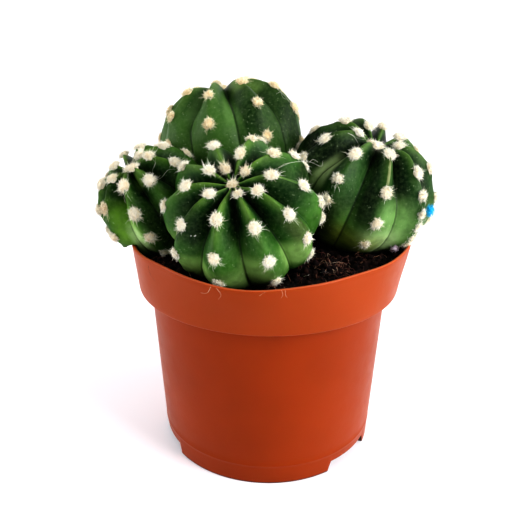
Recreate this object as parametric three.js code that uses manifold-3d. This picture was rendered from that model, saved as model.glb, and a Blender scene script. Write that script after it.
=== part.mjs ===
// Potted Echinopsis denudata: four ribbed globes in the peat of a plastic nursery pot.
// Millimetres, +Z up, and the viewer stands on the -Y side. The origin is on the table plane, below the
// middle of the whole object. The pot's axis lies a little off it, because the globes lean out unevenly.
// An azimuth is in degrees from the front of the pot (-Y), positive towards +X.

import * as THREE from 'three';
import { mergeVertices } from 'three/addons/utils/BufferGeometryUtils.js';
import Module from 'manifold-3d';

// Clear gap left between neighbouring pieces
const GAP = 0.35;

// Pot: an 8.5 cm nursery pot with a deep collar and three drain notches in its foot
const POT_AXIS = [0.8, -2.8];
const POT = {
  height: 68.8,
  rimRadius: 42.5,
  collarRadius: 40.9,
  collarBottom: 53.8,
  bodyTopRadius: 37.3,
  baseRadius: 34.3,
  wall: 1.0,
  lipRound: 0.45,
  floorUnderside: 3.8,
  floorTop: 5.0,
  footWidth: 2.5,
  footDraft: 0.3,
  segments: 48,
};

// Openings in the foot. The notches' azimuth and half widths are in degrees, and the round drain holes
// stand on a circle.
const NOTCH = {
  first: 50.5,
  count: 3,
  height: 3.4,
  halfWidth: 17,
  topHalfWidth: 14.5,
  inner: 30.5,
  outer: 37.3,
};
const DRAIN = { count: 6, radius: 3, circle: 20, sides: 12 };

// The thin rim is out of round: where it bulges outwards it also dips
const RIM_BULGES = [
  { azimuth: -8, reach: 1.75, width: 17 },
  { azimuth: -46, reach: -0.9, width: 14 },
  { azimuth: 36, reach: -0.9, width: 14 },
  { azimuth: 82, reach: 1.3, width: 13 },
];
const RIM_DIP = -0.27;

// Soil: a little below the rim, slightly mounded, and uneven except along its edge. rings are shares of
// the edge's radius.
const SOIL = {
  edgeHeight: 65.4,
  mound: 0.9,
  roughness: 0.45,
  evenEdge: 1,
  rings: [0.93, 0.8, 0.62, 0.42, 0.2, 0],
  segments: 32,
  seed: 20,
};

// Smooth holes in the soil, wider than the ribbed globes that stand in them
const HOLE = { clearance: 1.2, sides: 20, step: 15 };

// Ribs. Angles run down from the growing tip. Furrows are deepest at the peak angle, and the faces
// between crest and furrow are flat high up and full lower down, from one angle to the other.
const FURROW_PEAK = 38;
const FACE = { topPower: 1.3, lowPower: 1.6, from: 40, to: 110 };
const CROWN_WIDTH = 0.33;
const COLUMNS_PER_RIB = 4;
const RINGS = [8, 17, 27, 39, 53, 69, 87, 107, 129, 152];

// Areoles: a woolly tuft whose short spines are the drawn-out points of its star. Young ones near the
// tip are smaller, apart from the tip's own.
const TUFT = {
  halfLength: 2.1,
  halfWidth: 1.8,
  height: 1.85,
  sunk: 0.3,
  sides: 6,
  rings: 3,
  spineReach: 1.45,
  lowestAngle: 114,
  apexSize: 1.15,
  youngSize: 0.72,
  youngAngle: 25,
};

// Tufts lower than this above the soil's edge are cut clear of it
const LOW_TUFT = 5;

// Root neck: the woody foot that tapers into the soil
const NECK = { topRadius: 6.5, tipRadius: 2.5, inside: 5, depth: 20, sides: 10 };

// Stems. centre is from the pot's axis; the stem leans tilt degrees from upright towards heading, a
// mathematical azimuth from +X. above and below are the half heights over and under the widest ring.
// crown is how deep the growing tip lies. furrow is the furrows' greatest depth as a share of the
// distance from the middle, and fall is how quickly they fade down the globe. leads are the angles from
// the tip to each rib's first areole, steps the angles to its second one, and each later step is shrink
// times the one before. A stem with a bulge is wider by that share on the side of an azimuth about its
// axis, more and more from one angle from the tip to the other.
const STEMS = {
  stem_front: {
    centre: [-7.4, -20.2, 81.2],
    heading: -104.9,
    tilt: 39,
    radius: 22.1,
    above: 19.1,
    below: 20,
    crown: 5.1,
    furrow: 0.33,
    fall: 1.7,
    firstRib: -4.4,
    bends: [-3, 0, 3, 0, -1, 0, 2, 1.5, -1.5, -2],
    leads: [29, 23, 13, 34, 18, 33, 18, 12, 22, 12],
    steps: [27, 29, 31, 29, 32, 31, 30, 25, 24, 26],
    shrink: 0.93,
  },
  stem_back: {
    centre: [-12.7, 24.3, 94.6],
    heading: 132.6,
    tilt: 15.7,
    radius: 24,
    above: 19.3,
    below: 33,
    crown: 4.1,
    furrow: 0.3,
    fall: 2.6,
    firstRib: -19.9,
    bends: [1, 1, 0, -1, -1, 0, 0, 0, 0],
    leads: [19, 36, 18, 35, 22, 38, 20, 33, 24],
    steps: [29, 30, 31, 28, 30, 29, 31, 28, 30],
    shrink: 0.94,
  },
  stem_right: {
    centre: [28.2, 3.8, 84.2],
    heading: -36.1,
    tilt: 21.9,
    radius: 21.9,
    above: 19.2,
    below: 21.5,
    crown: 6.3,
    bulge: { share: 0.16, azimuth: 25, from: 45, to: 120 },
    furrow: 0.31,
    fall: 2,
    firstRib: -1.3,
    bends: [-2.5, -0.5, 1.5, 1, -0.5, -1, 0.5, 3, -1],
    leads: [16, 46, 30, 13, 20, 33, 19, 24, 22],
    steps: [35, 19, 34, 31, 31, 30, 33, 30, 32],
    shrink: 0.8,
  },
  stem_left: {
    centre: [-34.4, -1.9, 78.9],
    heading: -148.8,
    tilt: 34.5,
    radius: 17.2,
    above: 18,
    below: 19.5,
    crown: 3.8,
    furrow: 0.32,
    fall: 1.6,
    firstRib: -19.3,
    bends: [1, -1.5, 1.5, -3, 4, -1.5, 0, -1.5, 1.5],
    leads: [28, 18, 35, 21, 34, 20, 33, 30, 16],
    steps: [27, 28, 29, 32, 29, 30, 28, 27, 28],
    shrink: 0.9,
  },
};

const MATERIALS = {
  plastic: { color: 0xb4532a, roughness: 0.42, metalness: 0 },
  peat: { color: 0x2a1a12, roughness: 0.95, metalness: 0 },
  skin: { color: 0x2f5e2c, roughness: 0.5, metalness: 0 },
};

const wasm = await Module();
wasm.setup();

const radians = THREE.MathUtils.degToRad;
const { lerp, smoothstep } = THREE.MathUtils;

// A repeatable random number generator with values from 0 to 1
function makeRandom(seed) {
  let state = seed;
  return () => {
    state = (state * 1664525 + 1013904223) % 4294967296;
    return state / 4294967296;
  };
}

// A closed solid from a closed three.js geometry, without its seams and collapsed faces
function solidOf(geometry) {
  const bare = geometry.clone();
  bare.deleteAttribute('normal');
  bare.deleteAttribute('uv');
  const merged = mergeVertices(bare, 1e-4);
  const corners = merged.index.array;
  const kept = [];
  for (let i = 0; i < corners.length; i += 3) {
    const [a, b, c] = corners.subarray(i, i + 3);
    if (a !== b && b !== c && c !== a) kept.push(a, b, c);
  }
  return new wasm.Manifold(new wasm.Mesh({
    numProp: 3,
    vertProperties: new Float32Array(merged.attributes.position.array),
    triVerts: new Uint32Array(kept),
  }));
}

function geometryOf(solid) {
  const mesh = solid.getMesh();
  const geometry = new THREE.BufferGeometry();
  geometry.setAttribute('position', new THREE.BufferAttribute(mesh.vertProperties, 3));
  geometry.setIndex(new THREE.BufferAttribute(mesh.triVerts, 1));
  geometry.computeVertexNormals();
  return geometry;
}

const union = (solids) => solids.reduce((whole, solid) => whole.add(solid));

// The largest of the pieces that a cut leaves
function largest(solid) {
  return solid.decompose().reduce((best, piece) => (piece.volume() > best.volume() ? piece : best));
}

// A turned piece on the pot's axis, from [radius, height] corners that run up its outside
function turned(profile, segments) {
  const points = profile.map(([radius, height]) => new THREE.Vector2(radius, height));
  return new THREE.LatheGeometry(points, segments).rotateX(Math.PI / 2);
}

// Moves a turned piece's upper part out of round, as the rim is
function bendRim(geometry) {
  const position = geometry.attributes.position;
  const point = new THREE.Vector3();
  for (let i = 0; i < position.count; i += 1) {
    point.fromBufferAttribute(position, i);
    const azimuth = THREE.MathUtils.radToDeg(Math.atan2(point.x, -point.y));
    const ramp = smoothstep(point.z, POT.collarBottom, POT.height);
    const reach = RIM_BULGES.reduce(
      (sum, bulge) => sum + bulge.reach * Math.exp(-(((azimuth - bulge.azimuth) / bulge.width) ** 2)),
      0,
    );
    const radius = Math.hypot(point.x, point.y);
    if (radius > POT.baseRadius) {
      const scale = 1 + (reach * ramp) / radius;
      position.setXYZ(i, point.x * scale, point.y * scale, point.z + RIM_DIP * reach * ramp);
    }
  }
  return geometry;
}

// The pot's wall, collar, floor and foot ring. grow thickens it all round, for cutting neighbours clear.
function potBody(grow) {
  const { wall, lipRound, height, rimRadius, collarRadius, collarBottom, bodyTopRadius, baseRadius } = POT;
  const profile = [
    [0, POT.floorUnderside],
    [baseRadius - POT.footWidth - POT.footDraft, POT.floorUnderside],
    [baseRadius - POT.footWidth, 0],
    [baseRadius + grow, 0],
    [bodyTopRadius + grow, collarBottom - grow],
    [collarRadius + grow, collarBottom - grow],
    [rimRadius + grow, height - lipRound],
    [rimRadius - lipRound / 2 + grow, height + grow],
    [rimRadius - wall - grow, height + grow],
    [collarRadius - wall - grow, collarBottom + wall + grow],
    [bodyTopRadius - wall - grow, collarBottom + grow],
    [baseRadius - wall - grow, POT.floorTop + grow],
    [0, POT.floorTop + grow],
  ];
  return solidOf(bendRim(turned(profile, POT.segments)));
}

// The wedge that cuts one drain notch through the foot ring, narrower at its top
function notchCutter(azimuth) {
  const corner = (radius, angle) => [radius * Math.sin(radians(angle)), -radius * Math.cos(radians(angle))];
  const wedge = new THREE.Shape();
  wedge.moveTo(...corner(NOTCH.inner, -NOTCH.halfWidth));
  for (const side of [-1, 0, 1]) wedge.lineTo(...corner(NOTCH.outer, side * NOTCH.halfWidth));
  wedge.lineTo(...corner(NOTCH.inner, NOTCH.halfWidth));
  const below = 1;
  const geometry = new THREE.ExtrudeGeometry(wedge, { depth: NOTCH.height + below, bevelEnabled: false });
  geometry.translate(0, 0, -below);
  const position = geometry.attributes.position;
  for (let i = 0; i < position.count; i += 1) {
    if (position.getZ(i) > 0) position.setX(i, position.getX(i) * (NOTCH.topHalfWidth / NOTCH.halfWidth));
  }
  return solidOf(geometry.rotateZ(radians(azimuth)));
}

// The cutter of one round drain hole, which passes well through the floor
function drainCutter(index) {
  const length = 4 * (POT.floorTop - POT.floorUnderside);
  const geometry = new THREE.CylinderGeometry(DRAIN.radius, DRAIN.radius, length, DRAIN.sides);
  geometry.rotateX(Math.PI / 2).translate(DRAIN.circle, 0, (POT.floorTop + POT.floorUnderside) / 2);
  return solidOf(geometry.rotateZ(radians((index * 360) / DRAIN.count)));
}

function makePot() {
  const notches = Array.from(
    { length: NOTCH.count },
    (_, index) => notchCutter(NOTCH.first + (index * 360) / NOTCH.count),
  );
  const drains = Array.from({ length: DRAIN.count }, (_, index) => drainCutter(index));
  return potBody(0).subtract(union([...notches, ...drains]));
}

// A stem's own axes: up runs through its tip, across stays level with the view, and back points away
function stemAxes({ tilt, heading }) {
  const lean = Math.sin(radians(tilt));
  const up = new THREE.Vector3(
    lean * Math.cos(radians(heading)),
    lean * Math.sin(radians(heading)),
    Math.cos(radians(tilt)),
  );
  const across = new THREE.Vector3(0, 1, 0).cross(up).normalize();
  return { up, across, back: up.clone().cross(across) };
}

// Moves a point in the stem's frame away from the axis where the stem bulges
function bulged({ bulge }, point) {
  if (!bulge) return point;
  const angle = THREE.MathUtils.radToDeg(Math.atan2(Math.hypot(point.x, point.y), point.z));
  const aside = (1 + Math.cos(Math.atan2(point.y, point.x) - radians(bulge.azimuth))) / 2;
  const scale = 1 + bulge.share * aside * smoothstep(angle, bulge.from, bulge.to);
  return point.multiply(new THREE.Vector3(scale, scale, 1));
}

// Turns a piece made on its own +Z into the stem's frame
function placeOn(geometry, spec) {
  const position = geometry.attributes.position;
  for (let i = 0; i < position.count; i += 1) {
    const point = bulged(spec, new THREE.Vector3().fromBufferAttribute(position, i));
    position.setXYZ(i, point.x, point.y, point.z);
  }
  const { up, across, back } = stemAxes(spec);
  const frame = new THREE.Matrix4().makeBasis(across, back, up).setPosition(...spec.centre);
  return geometry.applyMatrix4(frame);
}

// Distance from the stem's axis and height along it, of the rib crest at an angle from the tip
function crest(spec, angle, grow) {
  const sine = Math.sin(radians(angle));
  const cosine = Math.cos(radians(angle));
  const upper = angle < 90;
  const dip = upper ? spec.crown * Math.exp(-((sine / CROWN_WIDTH) ** 2)) : 0;
  const half = (upper ? spec.above : spec.below) + grow;
  return [(spec.radius + grow) * sine, half * cosine - dip];
}

// Share of the crest's distance from the middle that the furrow lies below it
function furrowDepth(spec, angle) {
  const share = angle / FURROW_PEAK;
  return spec.furrow * (share * Math.exp(1 - share)) ** spec.fall;
}

// Azimuth of a rib's crest about the stem's axis, in degrees
function ribAzimuth(spec, rib) {
  const count = spec.leads.length;
  return spec.firstRib - (rib * 360) / count + spec.bends[((rib % count) + count) % count];
}

// The ribbed globe: a grid of points from the tip to the underside
function ribbedBody(spec, grow) {
  const count = spec.leads.length;
  const columns = count * COLUMNS_PER_RIB;
  const points = [0, 0, crest(spec, 0, grow)[1]];
  for (const angle of RINGS) {
    const [radius, height] = crest(spec, angle, grow);
    const power = lerp(FACE.topPower, FACE.lowPower, smoothstep(angle, FACE.from, FACE.to));
    for (let column = 0; column < columns; column += 1) {
      const rib = Math.floor(column / COLUMNS_PER_RIB);
      const along = (column % COLUMNS_PER_RIB) / COLUMNS_PER_RIB;
      const azimuth = radians(lerp(ribAzimuth(spec, -rib), ribAzimuth(spec, -rib - 1), along));
      const side = 2 * Math.min(along, 1 - along);
      const scale = 1 - furrowDepth(spec, angle) * side ** power;
      points.push(radius * scale * Math.cos(azimuth), radius * scale * Math.sin(azimuth), height * scale);
    }
  }
  points.push(0, 0, crest(spec, 180, grow)[1]);
  const geometry = new THREE.BufferGeometry();
  geometry.setAttribute('position', new THREE.Float32BufferAttribute(points, 3));
  geometry.setIndex(gridFaces(columns, RINGS.length));
  return solidOf(placeOn(geometry, spec));
}

// Triangles of a globe's grid: a first and a last point, with rings of points between them
function gridFaces(columns, rings) {
  const faces = [];
  const at = (ring, column) => 1 + ring * columns + (column % columns);
  const last = 1 + rings * columns;
  for (let column = 0; column < columns; column += 1) {
    faces.push(0, at(0, column), at(0, column + 1));
    for (let ring = 0; ring + 1 < rings; ring += 1) {
      const above = at(ring, column);
      const opposite = at(ring + 1, column + 1);
      faces.push(above, at(ring + 1, column), opposite);
      faces.push(above, opposite, at(ring, column + 1));
    }
    faces.push(at(rings - 1, column), last, at(rings - 1, column + 1));
  }
  return faces;
}

// Angles from the tip of every areole on one rib
function areoleAngles(spec, rib) {
  const angles = [];
  let angle = spec.leads[rib];
  let step = spec.steps[rib];
  while (angle < TUFT.lowestAngle) {
    angles.push(angle);
    angle += step;
    step *= spec.shrink;
  }
  return angles;
}

// The star-shaped tuft, with its foot at the origin, its length along +Y and its height along +Z
function tuftGeometry() {
  const geometry = new THREE.SphereGeometry(1, TUFT.sides, TUFT.rings).rotateX(Math.PI / 2);
  const position = geometry.attributes.position;
  const spineHeight = Math.cos(Math.PI / TUFT.rings);
  for (let i = 0; i < position.count; i += 1) {
    const side = Math.round((Math.atan2(position.getY(i), position.getX(i)) / (2 * Math.PI)) * TUFT.sides);
    const onRing = Math.abs(position.getZ(i) - spineHeight) < 0.01;
    const reach = onRing && side % 2 !== 0 ? TUFT.spineReach : 1;
    position.setXYZ(i, position.getX(i) * reach, position.getY(i) * reach, position.getZ(i));
  }
  return geometry;
}

// One tuft on a rib's crest, and the place of its foot from the pot's axis
function tuftAt(spec, rib, angle, grow) {
  const [radius, height] = crest(spec, angle, 0);
  const [nextRadius, nextHeight] = crest(spec, angle + 1, 0);
  const azimuth = radians(ribAzimuth(spec, rib));
  const spoke = new THREE.Vector3(Math.cos(azimuth), Math.sin(azimuth), 0);
  const along = spoke.clone().multiplyScalar(nextRadius - radius);
  along.z = nextHeight - height;
  along.normalize();
  const across = new THREE.Vector3(-spoke.y, spoke.x, 0);
  const out = across.clone().cross(along).negate();
  const grown = lerp(TUFT.youngSize, 1, smoothstep(angle, 0, TUFT.youngAngle));
  const size = angle === 0 ? TUFT.apexSize : grown;
  const foot = spoke.clone().multiplyScalar(radius).addScaledVector(out, -TUFT.sunk);
  foot.z += height;
  const frame = new THREE.Matrix4().makeBasis(across, along.negate(), out).setPosition(foot);
  const sized = tuftGeometry().scale(
    TUFT.halfWidth * size + grow,
    TUFT.halfLength * size + grow,
    TUFT.height * size + grow,
  );
  return { geometry: placeOn(sized.applyMatrix4(frame), spec), place: toWorld(spec, foot) };
}

// A point in the stem's frame, moved to where the stem stands
function toWorld(spec, point) {
  const { up, across, back } = stemAxes(spec);
  const { x, y, z } = bulged(spec, point.clone());
  return new THREE.Vector3(...spec.centre)
    .addScaledVector(across, x)
    .addScaledVector(back, y)
    .addScaledVector(up, z);
}

// True where a point lies inside the smooth outline of a stem, grown by a margin
function insideStem(spec, point, margin) {
  const { up } = stemAxes(spec);
  const offset = point.clone().sub(new THREE.Vector3(...spec.centre));
  const height = offset.dot(up);
  const radius = Math.sqrt(Math.max(offset.lengthSq() - height * height, 0));
  const half = height > 0 ? spec.above : spec.below;
  return (radius / (spec.radius + margin)) ** 2 + (height / (half + margin)) ** 2 < 1;
}

// Every tuft that has room to grow, above the soil and not against another stem, and no higher than top
function stemTufts(name, grow, top = Infinity) {
  const spec = STEMS[name];
  const others = Object.keys(STEMS).filter((other) => other !== name);
  const tufts = [tuftAt(spec, 0, 0, grow)];
  spec.leads.forEach((_, rib) => {
    for (const angle of areoleAngles(spec, rib)) tufts.push(tuftAt(spec, rib, angle, grow));
  });
  return tufts
    .filter(({ place }) => place.z > SOIL.edgeHeight + TUFT.height && place.z < top)
    .filter(({ place }) => !others.some((other) => insideStem(STEMS[other], place, GAP)))
    .map(({ geometry }) => solidOf(geometry));
}

// The tapering root neck, straight down from the stem's underside
function stemNeck(spec, grow) {
  const length = NECK.inside + NECK.depth + grow;
  const radii = [NECK.topRadius + grow, NECK.tipRadius + grow];
  const geometry = new THREE.CylinderGeometry(...radii, length, NECK.sides);
  const foot = toWorld(spec, new THREE.Vector3(0, 0, crest(spec, 180, 0)[1]));
  geometry.rotateX(Math.PI / 2).translate(foot.x, foot.y, foot.z + NECK.inside - length / 2);
  return solidOf(geometry);
}

// A whole stem; grow makes it larger all round, for cutting its neighbours clear of it
function stemSolid(name, grow) {
  const spec = STEMS[name];
  return union([ribbedBody(spec, grow), stemNeck(spec, grow), ...stemTufts(name, grow)]);
}

// The smooth hole that a stem's underside and neck make in the soil
function stemHole(name) {
  const spec = STEMS[name];
  const profile = [];
  for (let angle = 180; angle >= 0; angle -= HOLE.step) profile.push(crest(spec, angle, HOLE.clearance));
  profile[0][0] = 0;
  const globe = placeOn(turned(profile, HOLE.sides), spec);
  const lowTufts = stemTufts(name, GAP, SOIL.edgeHeight + LOW_TUFT);
  return union([solidOf(globe), stemNeck(spec, GAP), ...lowTufts]);
}

// The peat: follows the inside of the pot and has an uneven, slightly mounded top
function makeSoil() {
  const random = makeRandom(SOIL.seed);
  const side = POT.wall + GAP;
  const collarSlope = (POT.rimRadius - POT.collarRadius) / (POT.height - POT.collarBottom);
  const edge = POT.collarRadius + (SOIL.edgeHeight - POT.collarBottom) * collarSlope - side;
  const top = SOIL.rings.map((share) => [
    edge * share,
    SOIL.edgeHeight + SOIL.mound * (1 - share * share),
  ]);
  const geometry = turned([
    [0, POT.floorTop + GAP],
    [POT.baseRadius - side, POT.floorTop + GAP],
    [POT.bodyTopRadius - side, POT.collarBottom + GAP],
    [POT.collarRadius - side, POT.collarBottom + POT.wall + GAP],
    [edge, SOIL.edgeHeight],
    ...top,
  ], SOIL.segments);
  const merged = mergeVertices(geometry.deleteAttribute('normal').deleteAttribute('uv'), 1e-4);
  const position = merged.attributes.position;
  for (let i = 0; i < position.count; i += 1) {
    const radius = Math.hypot(position.getX(i), position.getY(i));
    const onTop = position.getZ(i) >= SOIL.edgeHeight && radius < edge - SOIL.evenEdge;
    const lift = onTop ? SOIL.roughness * (2 * random() - 1) : 0;
    position.setZ(i, position.getZ(i) + lift);
  }
  const holes = union(Object.keys(STEMS).map((name) => stemHole(name)));
  return largest(solidOf(bendRim(merged)).subtract(holes));
}

// Stems in the order in which they keep their form: each later one is pressed clear of those before it
function makeStems() {
  const pot = potBody(GAP);
  const names = Object.keys(STEMS);
  return names.map((name, index) => {
    const blockers = names.slice(0, index).map((other) => stemSolid(other, GAP));
    return [name, largest(stemSolid(name, 0).subtract(union([pot, ...blockers])))];
  });
}

function makeNode(name, solid, finish) {
  const node = new THREE.Mesh(geometryOf(solid), new THREE.MeshStandardMaterial(MATERIALS[finish]));
  node.name = name;
  return node;
}

const plant = new THREE.Group();
plant.name = 'potted_echinopsis';
plant.position.set(...POT_AXIS, 0);
plant.add(makeNode('pot', makePot(), 'plastic'));
plant.add(makeNode('soil', makeSoil(), 'peat'));
for (const [name, solid] of makeStems()) plant.add(makeNode(name, solid, 'skin'));

const model = new THREE.Group();
model.add(plant);

export default model;
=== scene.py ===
import math

import bmesh
import bpy
import numpy as np
from mathutils import Matrix


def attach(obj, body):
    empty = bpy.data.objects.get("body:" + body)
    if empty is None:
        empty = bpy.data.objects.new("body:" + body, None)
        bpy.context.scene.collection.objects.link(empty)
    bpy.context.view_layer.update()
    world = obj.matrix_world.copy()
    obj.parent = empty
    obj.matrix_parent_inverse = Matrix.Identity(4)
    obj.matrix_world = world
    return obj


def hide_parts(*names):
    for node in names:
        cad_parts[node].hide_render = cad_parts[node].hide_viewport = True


# Looks of the potted Echinopsis denudata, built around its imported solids.
# Every length is in millimetres from the pot's axis on the table until a mesh is made. The floor, the lamps,
# the camera's clip and the materials use metres.
# An azimuth on the pot is in degrees from its front (-Y), positive towards +X.

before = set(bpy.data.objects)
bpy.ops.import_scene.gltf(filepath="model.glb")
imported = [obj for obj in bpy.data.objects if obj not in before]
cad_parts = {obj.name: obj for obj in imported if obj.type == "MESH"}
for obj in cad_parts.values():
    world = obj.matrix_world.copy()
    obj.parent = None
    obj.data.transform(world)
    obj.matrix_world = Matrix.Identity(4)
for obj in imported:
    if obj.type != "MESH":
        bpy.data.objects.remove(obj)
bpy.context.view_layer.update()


def srgb(red, green, blue):
    """A colour given in 0 to 255 screen values, as linear light."""
    values = np.array([red, green, blue]) / 255.0
    linear = np.where(values <= 0.04045, values / 12.92, ((values + 0.055) / 1.055) ** 2.4)
    return (*linear.tolist(), 1.0)


# Sizes and places

MM = 0.001
# The least number to divide by, and a height above everything
TINY = 1e-9
FAR = 1e3
# The waves that add up to a smooth random field, and how their paces differ
WAVES = {"count": 28, "paces": (0.6, 1.5)}
POT_AXIS = np.array([0.8, -2.8, 0.0])

# The camera that fits the photograph, for an image of 515 x 516 pixels
CAMERA = {
    "place": (0.0, -193.13, 135.8),
    "yaw": -1.04,
    "pitch": 21.39,
    "roll": 0.19,
    "focal_pixels": 649.58,
    "long_side_pixels": 516,
    "sensor_mm": 36.0,
    "clip": (0.01, 50),
}

# The pot. Its foot's bend and its floor's flare are each a width and a height, and its seam's edges are half
# the width of its ridge and half its whole width
POT = {
    "height": 68.8,
    "rim_radius": 42.5,
    "collar_radius": 40.9,
    "collar_bottom": 53.8,
    "body_top_radius": 37.3,
    "base_radius": 34.3,
    "wall": 1.0,
    "floor_underside": 3.8,
    "floor_top": 5.0,
    "foot_width": 2.5,
    "foot_draft": 0.3,
    "foot_bend": (0.1, 1.0),
    "floor_flare": (0.6, 8),
    "columns": 288,
    # Width of the lip's painted highlight, down from the rim's top
    "lip_highlight_width": 0.14,
    # Height above the table up to which the foot's bottom edge is painted dark, as its shadow
    "foot_edge_shadow": 0.4,
    "seam_height": 6.6,
    "seam_proud": 0.07,
    "seam_edges": (0.1, 0.25),
    "seam_clear": 0.6,
}
# Steps of the pot's outline: levels up the foot, how many levels each stretch of wall has, and how far
# they stay from the collar's step, the rim and the ledge inside
WALL_STEPS = {
    "foot": (0.6, 1.6, 3.4, 5.6),
    "body_from": 9,
    "body": 14,
    "collar": 8,
    "inside": 6,
    "under_step": 1.2,
    "over_step": 1.5,
    "under_rim": 1.6,
    "over_ledge": 0.6,
}
# Radii of the pot's rounded edges
ROUNDING = {"foot_inside": 0.2, "foot": 0.35, "step": 0.55, "collar": 0.4, "rim": 0.48, "rim_inside": 0.35}
NOTCH = {"first": 50.5, "count": 3, "height": 3.4, "half_width": 17.0, "top_half_width": 14.5, "edge": 0.35}
DRAIN = {"count": 6, "first": 90, "radius": 3.0, "circle": 20.0, "sides": 28}
# Where the rim is out of round: azimuth, reach outwards and width
RIM_BULGES = [(-8, 1.75, 17), (-46, -0.9, 14), (36, -0.9, 14), (82, 1.3, 13)]
RIM_DIP = -0.27

SOIL = {
    "edge_height": 65.4,
    "mound": 0.9,
    "shoulder": 2.5,
    "calm_edge": 0.06,
    "columns": 240,
    "rings": 64,
    "wall_gap": 0.35,
    "stem_gap": 0.5,
    "neck_gap": 0.6,
    "pit_extra": 0.5,
    "tone": 0.3,
}
# Waves of the soil's top: height, length and seed
SOIL_WAVES = [(0.45, 9, 31), (0.3, 3.2, 32), (0.16, 1.3, 33)]
# Grid of heights under a globe: cell size, cells a side, and the steps that fill it
UNDERSIDE = {"cell": 1.0, "cells": 120, "from": 60, "rows": 90, "columns": 181}
# Places for crumbs and fibres: random tries for each, share of the soil's radius, air needed above
LITTER = {"tries": 12, "reach": 0.985, "air": 0.4}
# Crumbs and coir. A pair sets a random draw: its least and most, or its shape and scale
CRUMBS = {
    "count": 1200,
    "seed": 20,
    "size": (3.0, 0.16),
    "size_limits": (0.2, 1.5),
    "stretch": (0.6, 1.25),
    "lumps": 0.3,
    "lump_limit": 1.6,
    "raised": 0.25,
    "tone": (1.4, 2.6),
}
COIR = {
    "count": 1000,
    "seed": 21,
    "cluster_length": 8,
    "cluster_seed": 41,
    "cluster_spread": 0.5,
    "cluster_level": 0.2,
    "points": 10,
    "bend": 0.6,
    "wobble": 0.25,
    "length": (3.0, 1.3),
    "length_limits": (0.9, 9.0),
    "wall_clear": 0.4,
    "raised": 0.15,
    "arch": (2.0, 0.35),
    "radius": (0.035, 0.075),
    "tip": 0.35,
    "tone": (1.2, 1.4),
}

FURROW_PEAK = 38.0
FACE = {"top_power": 1.3, "low_power": 1.6, "from": 40.0, "to": 110.0}
CROWN_WIDTH = 0.33
GAP = 0.35
COLUMNS_PER_RIB = 24
RINGS = 96
RING_SPACING = 1.12
# The fine line in each furrow, with the angles from the tip between which it starts
CREASE = {"depth": 0.3, "width": 0.05, "from": 8, "to": 30}
SWELL = {"height": 0.34, "saddle": 0.12, "offset": 1.5, "along": 8.5, "across": 0.42}
# Waves of the flesh: height, length and what is added to the stem's seed
FLESH_WAVES = [(0.16, 12, 0), (0.035, 2.4, 50)]
NECK = {"start": 158.0, "radius": 6.3, "tip_radius": 2.5, "depth": 20.0, "drop": 1.0, "rings": 6}
# How a stem is drawn clear of its neighbours and of the pot's wall
CLEARING = {"halvings": 22, "least": 0.6, "steps": 160}
TUFT = {
    "half_length": 1.8,
    "half_width": 1.58,
    "height": 1.4,
    "sunk": 0.3,
    "lowest_angle": 114.0,
    "apex_size": 1.15,
    "young_size": 0.72,
    "young_angle": 25.0,
    "shape_spread": (0.9, 1.1),
    "tone": (0.0, 0.16),
}
# The cushion under a tuft's wool: its waves' heights and lengths, its size and its shade
FELT = {"waves": ((0.06, 0.7), (0.05, 0.3)), "size": 0.76, "shade": 0.2}
# Fibres of each kind on one tuft. A pair sets a random draw. A root or tip is a share of the tuft's size
WOOL = {
    "matted": {"count": 114, "width": 0.062, "shade": 0.03, "lowest": 0.05, "reach": (0.35, 0.9),
               "height": (0.9, 1.16), "arch": (0.1, 0.45), "root": 0.8},
    "bristles": {"count": 148, "width": 0.055, "shade": -0.02, "rise": (1.2, 2.2), "steepest": 1.3,
                 "root": 0.6, "tip": 0.9, "length": (4.0, 0.18), "limits": (0.12, 1.3), "stray": 0.35,
                 "lowest": 0.05, "sway": 0.12},
    "hairs": {"count": 12, "width": 0.04, "shade": -0.04, "turn": (90, 55), "rise": (0.1, 0.5), "root": 0.8,
              "length": (5.0, 0.3), "limits": (0.6, 2.6), "stray": 0.55, "levels": (0.1, 1.2), "sway": 0.45,
              "lowest": 0.3},
    "spines": {"count": 4, "width": 0.06, "shade": 0.5, "rise": (0.5, 1.2), "root": 0.55, "middle": 0.8,
               "tip": 1.02, "length": (0.1, 0.4)},
}
WOOL_POINTS = 4
HAIR_POINTS = 5
FIBRE_SIDES = 3
# A fibre's width at shares of its length, and how widths and tones differ from one to the next
FIBRE = {"places": (0, 0.4, 1), "widths": (1, 1, 0.25), "spread": (0.7, 1.3), "tone_spread": 0.13}
# How much wider the wool spreads than the tuft's own size
WOOL_SPREAD = {"front": 0.98, "back": 1.05, "right": 1.09, "left": 1.1}

# How much more tan some tufts are, by stem, rib and place on the rib; -1 is the growing tip's
TANNED = {
    ("front", 0, -1): 0.2,
    ("front", 7, 0): 0.24,
    ("front", 9, 0): 0.15,
    ("right", 2, 1): 0.15,
    ("left", 4, 1): 0.15,
    ("left", 3, 1): 0.32,
}
# Stretch of the growing tip's tuft: across, along and outwards
APEX_SHAPES = {"front": (0.72, 0.72, 0.5), "back": (1, 1, 0.6), "right": (1.5, 1.3, 0.9), "left": (1, 1, 0.6)}

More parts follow.
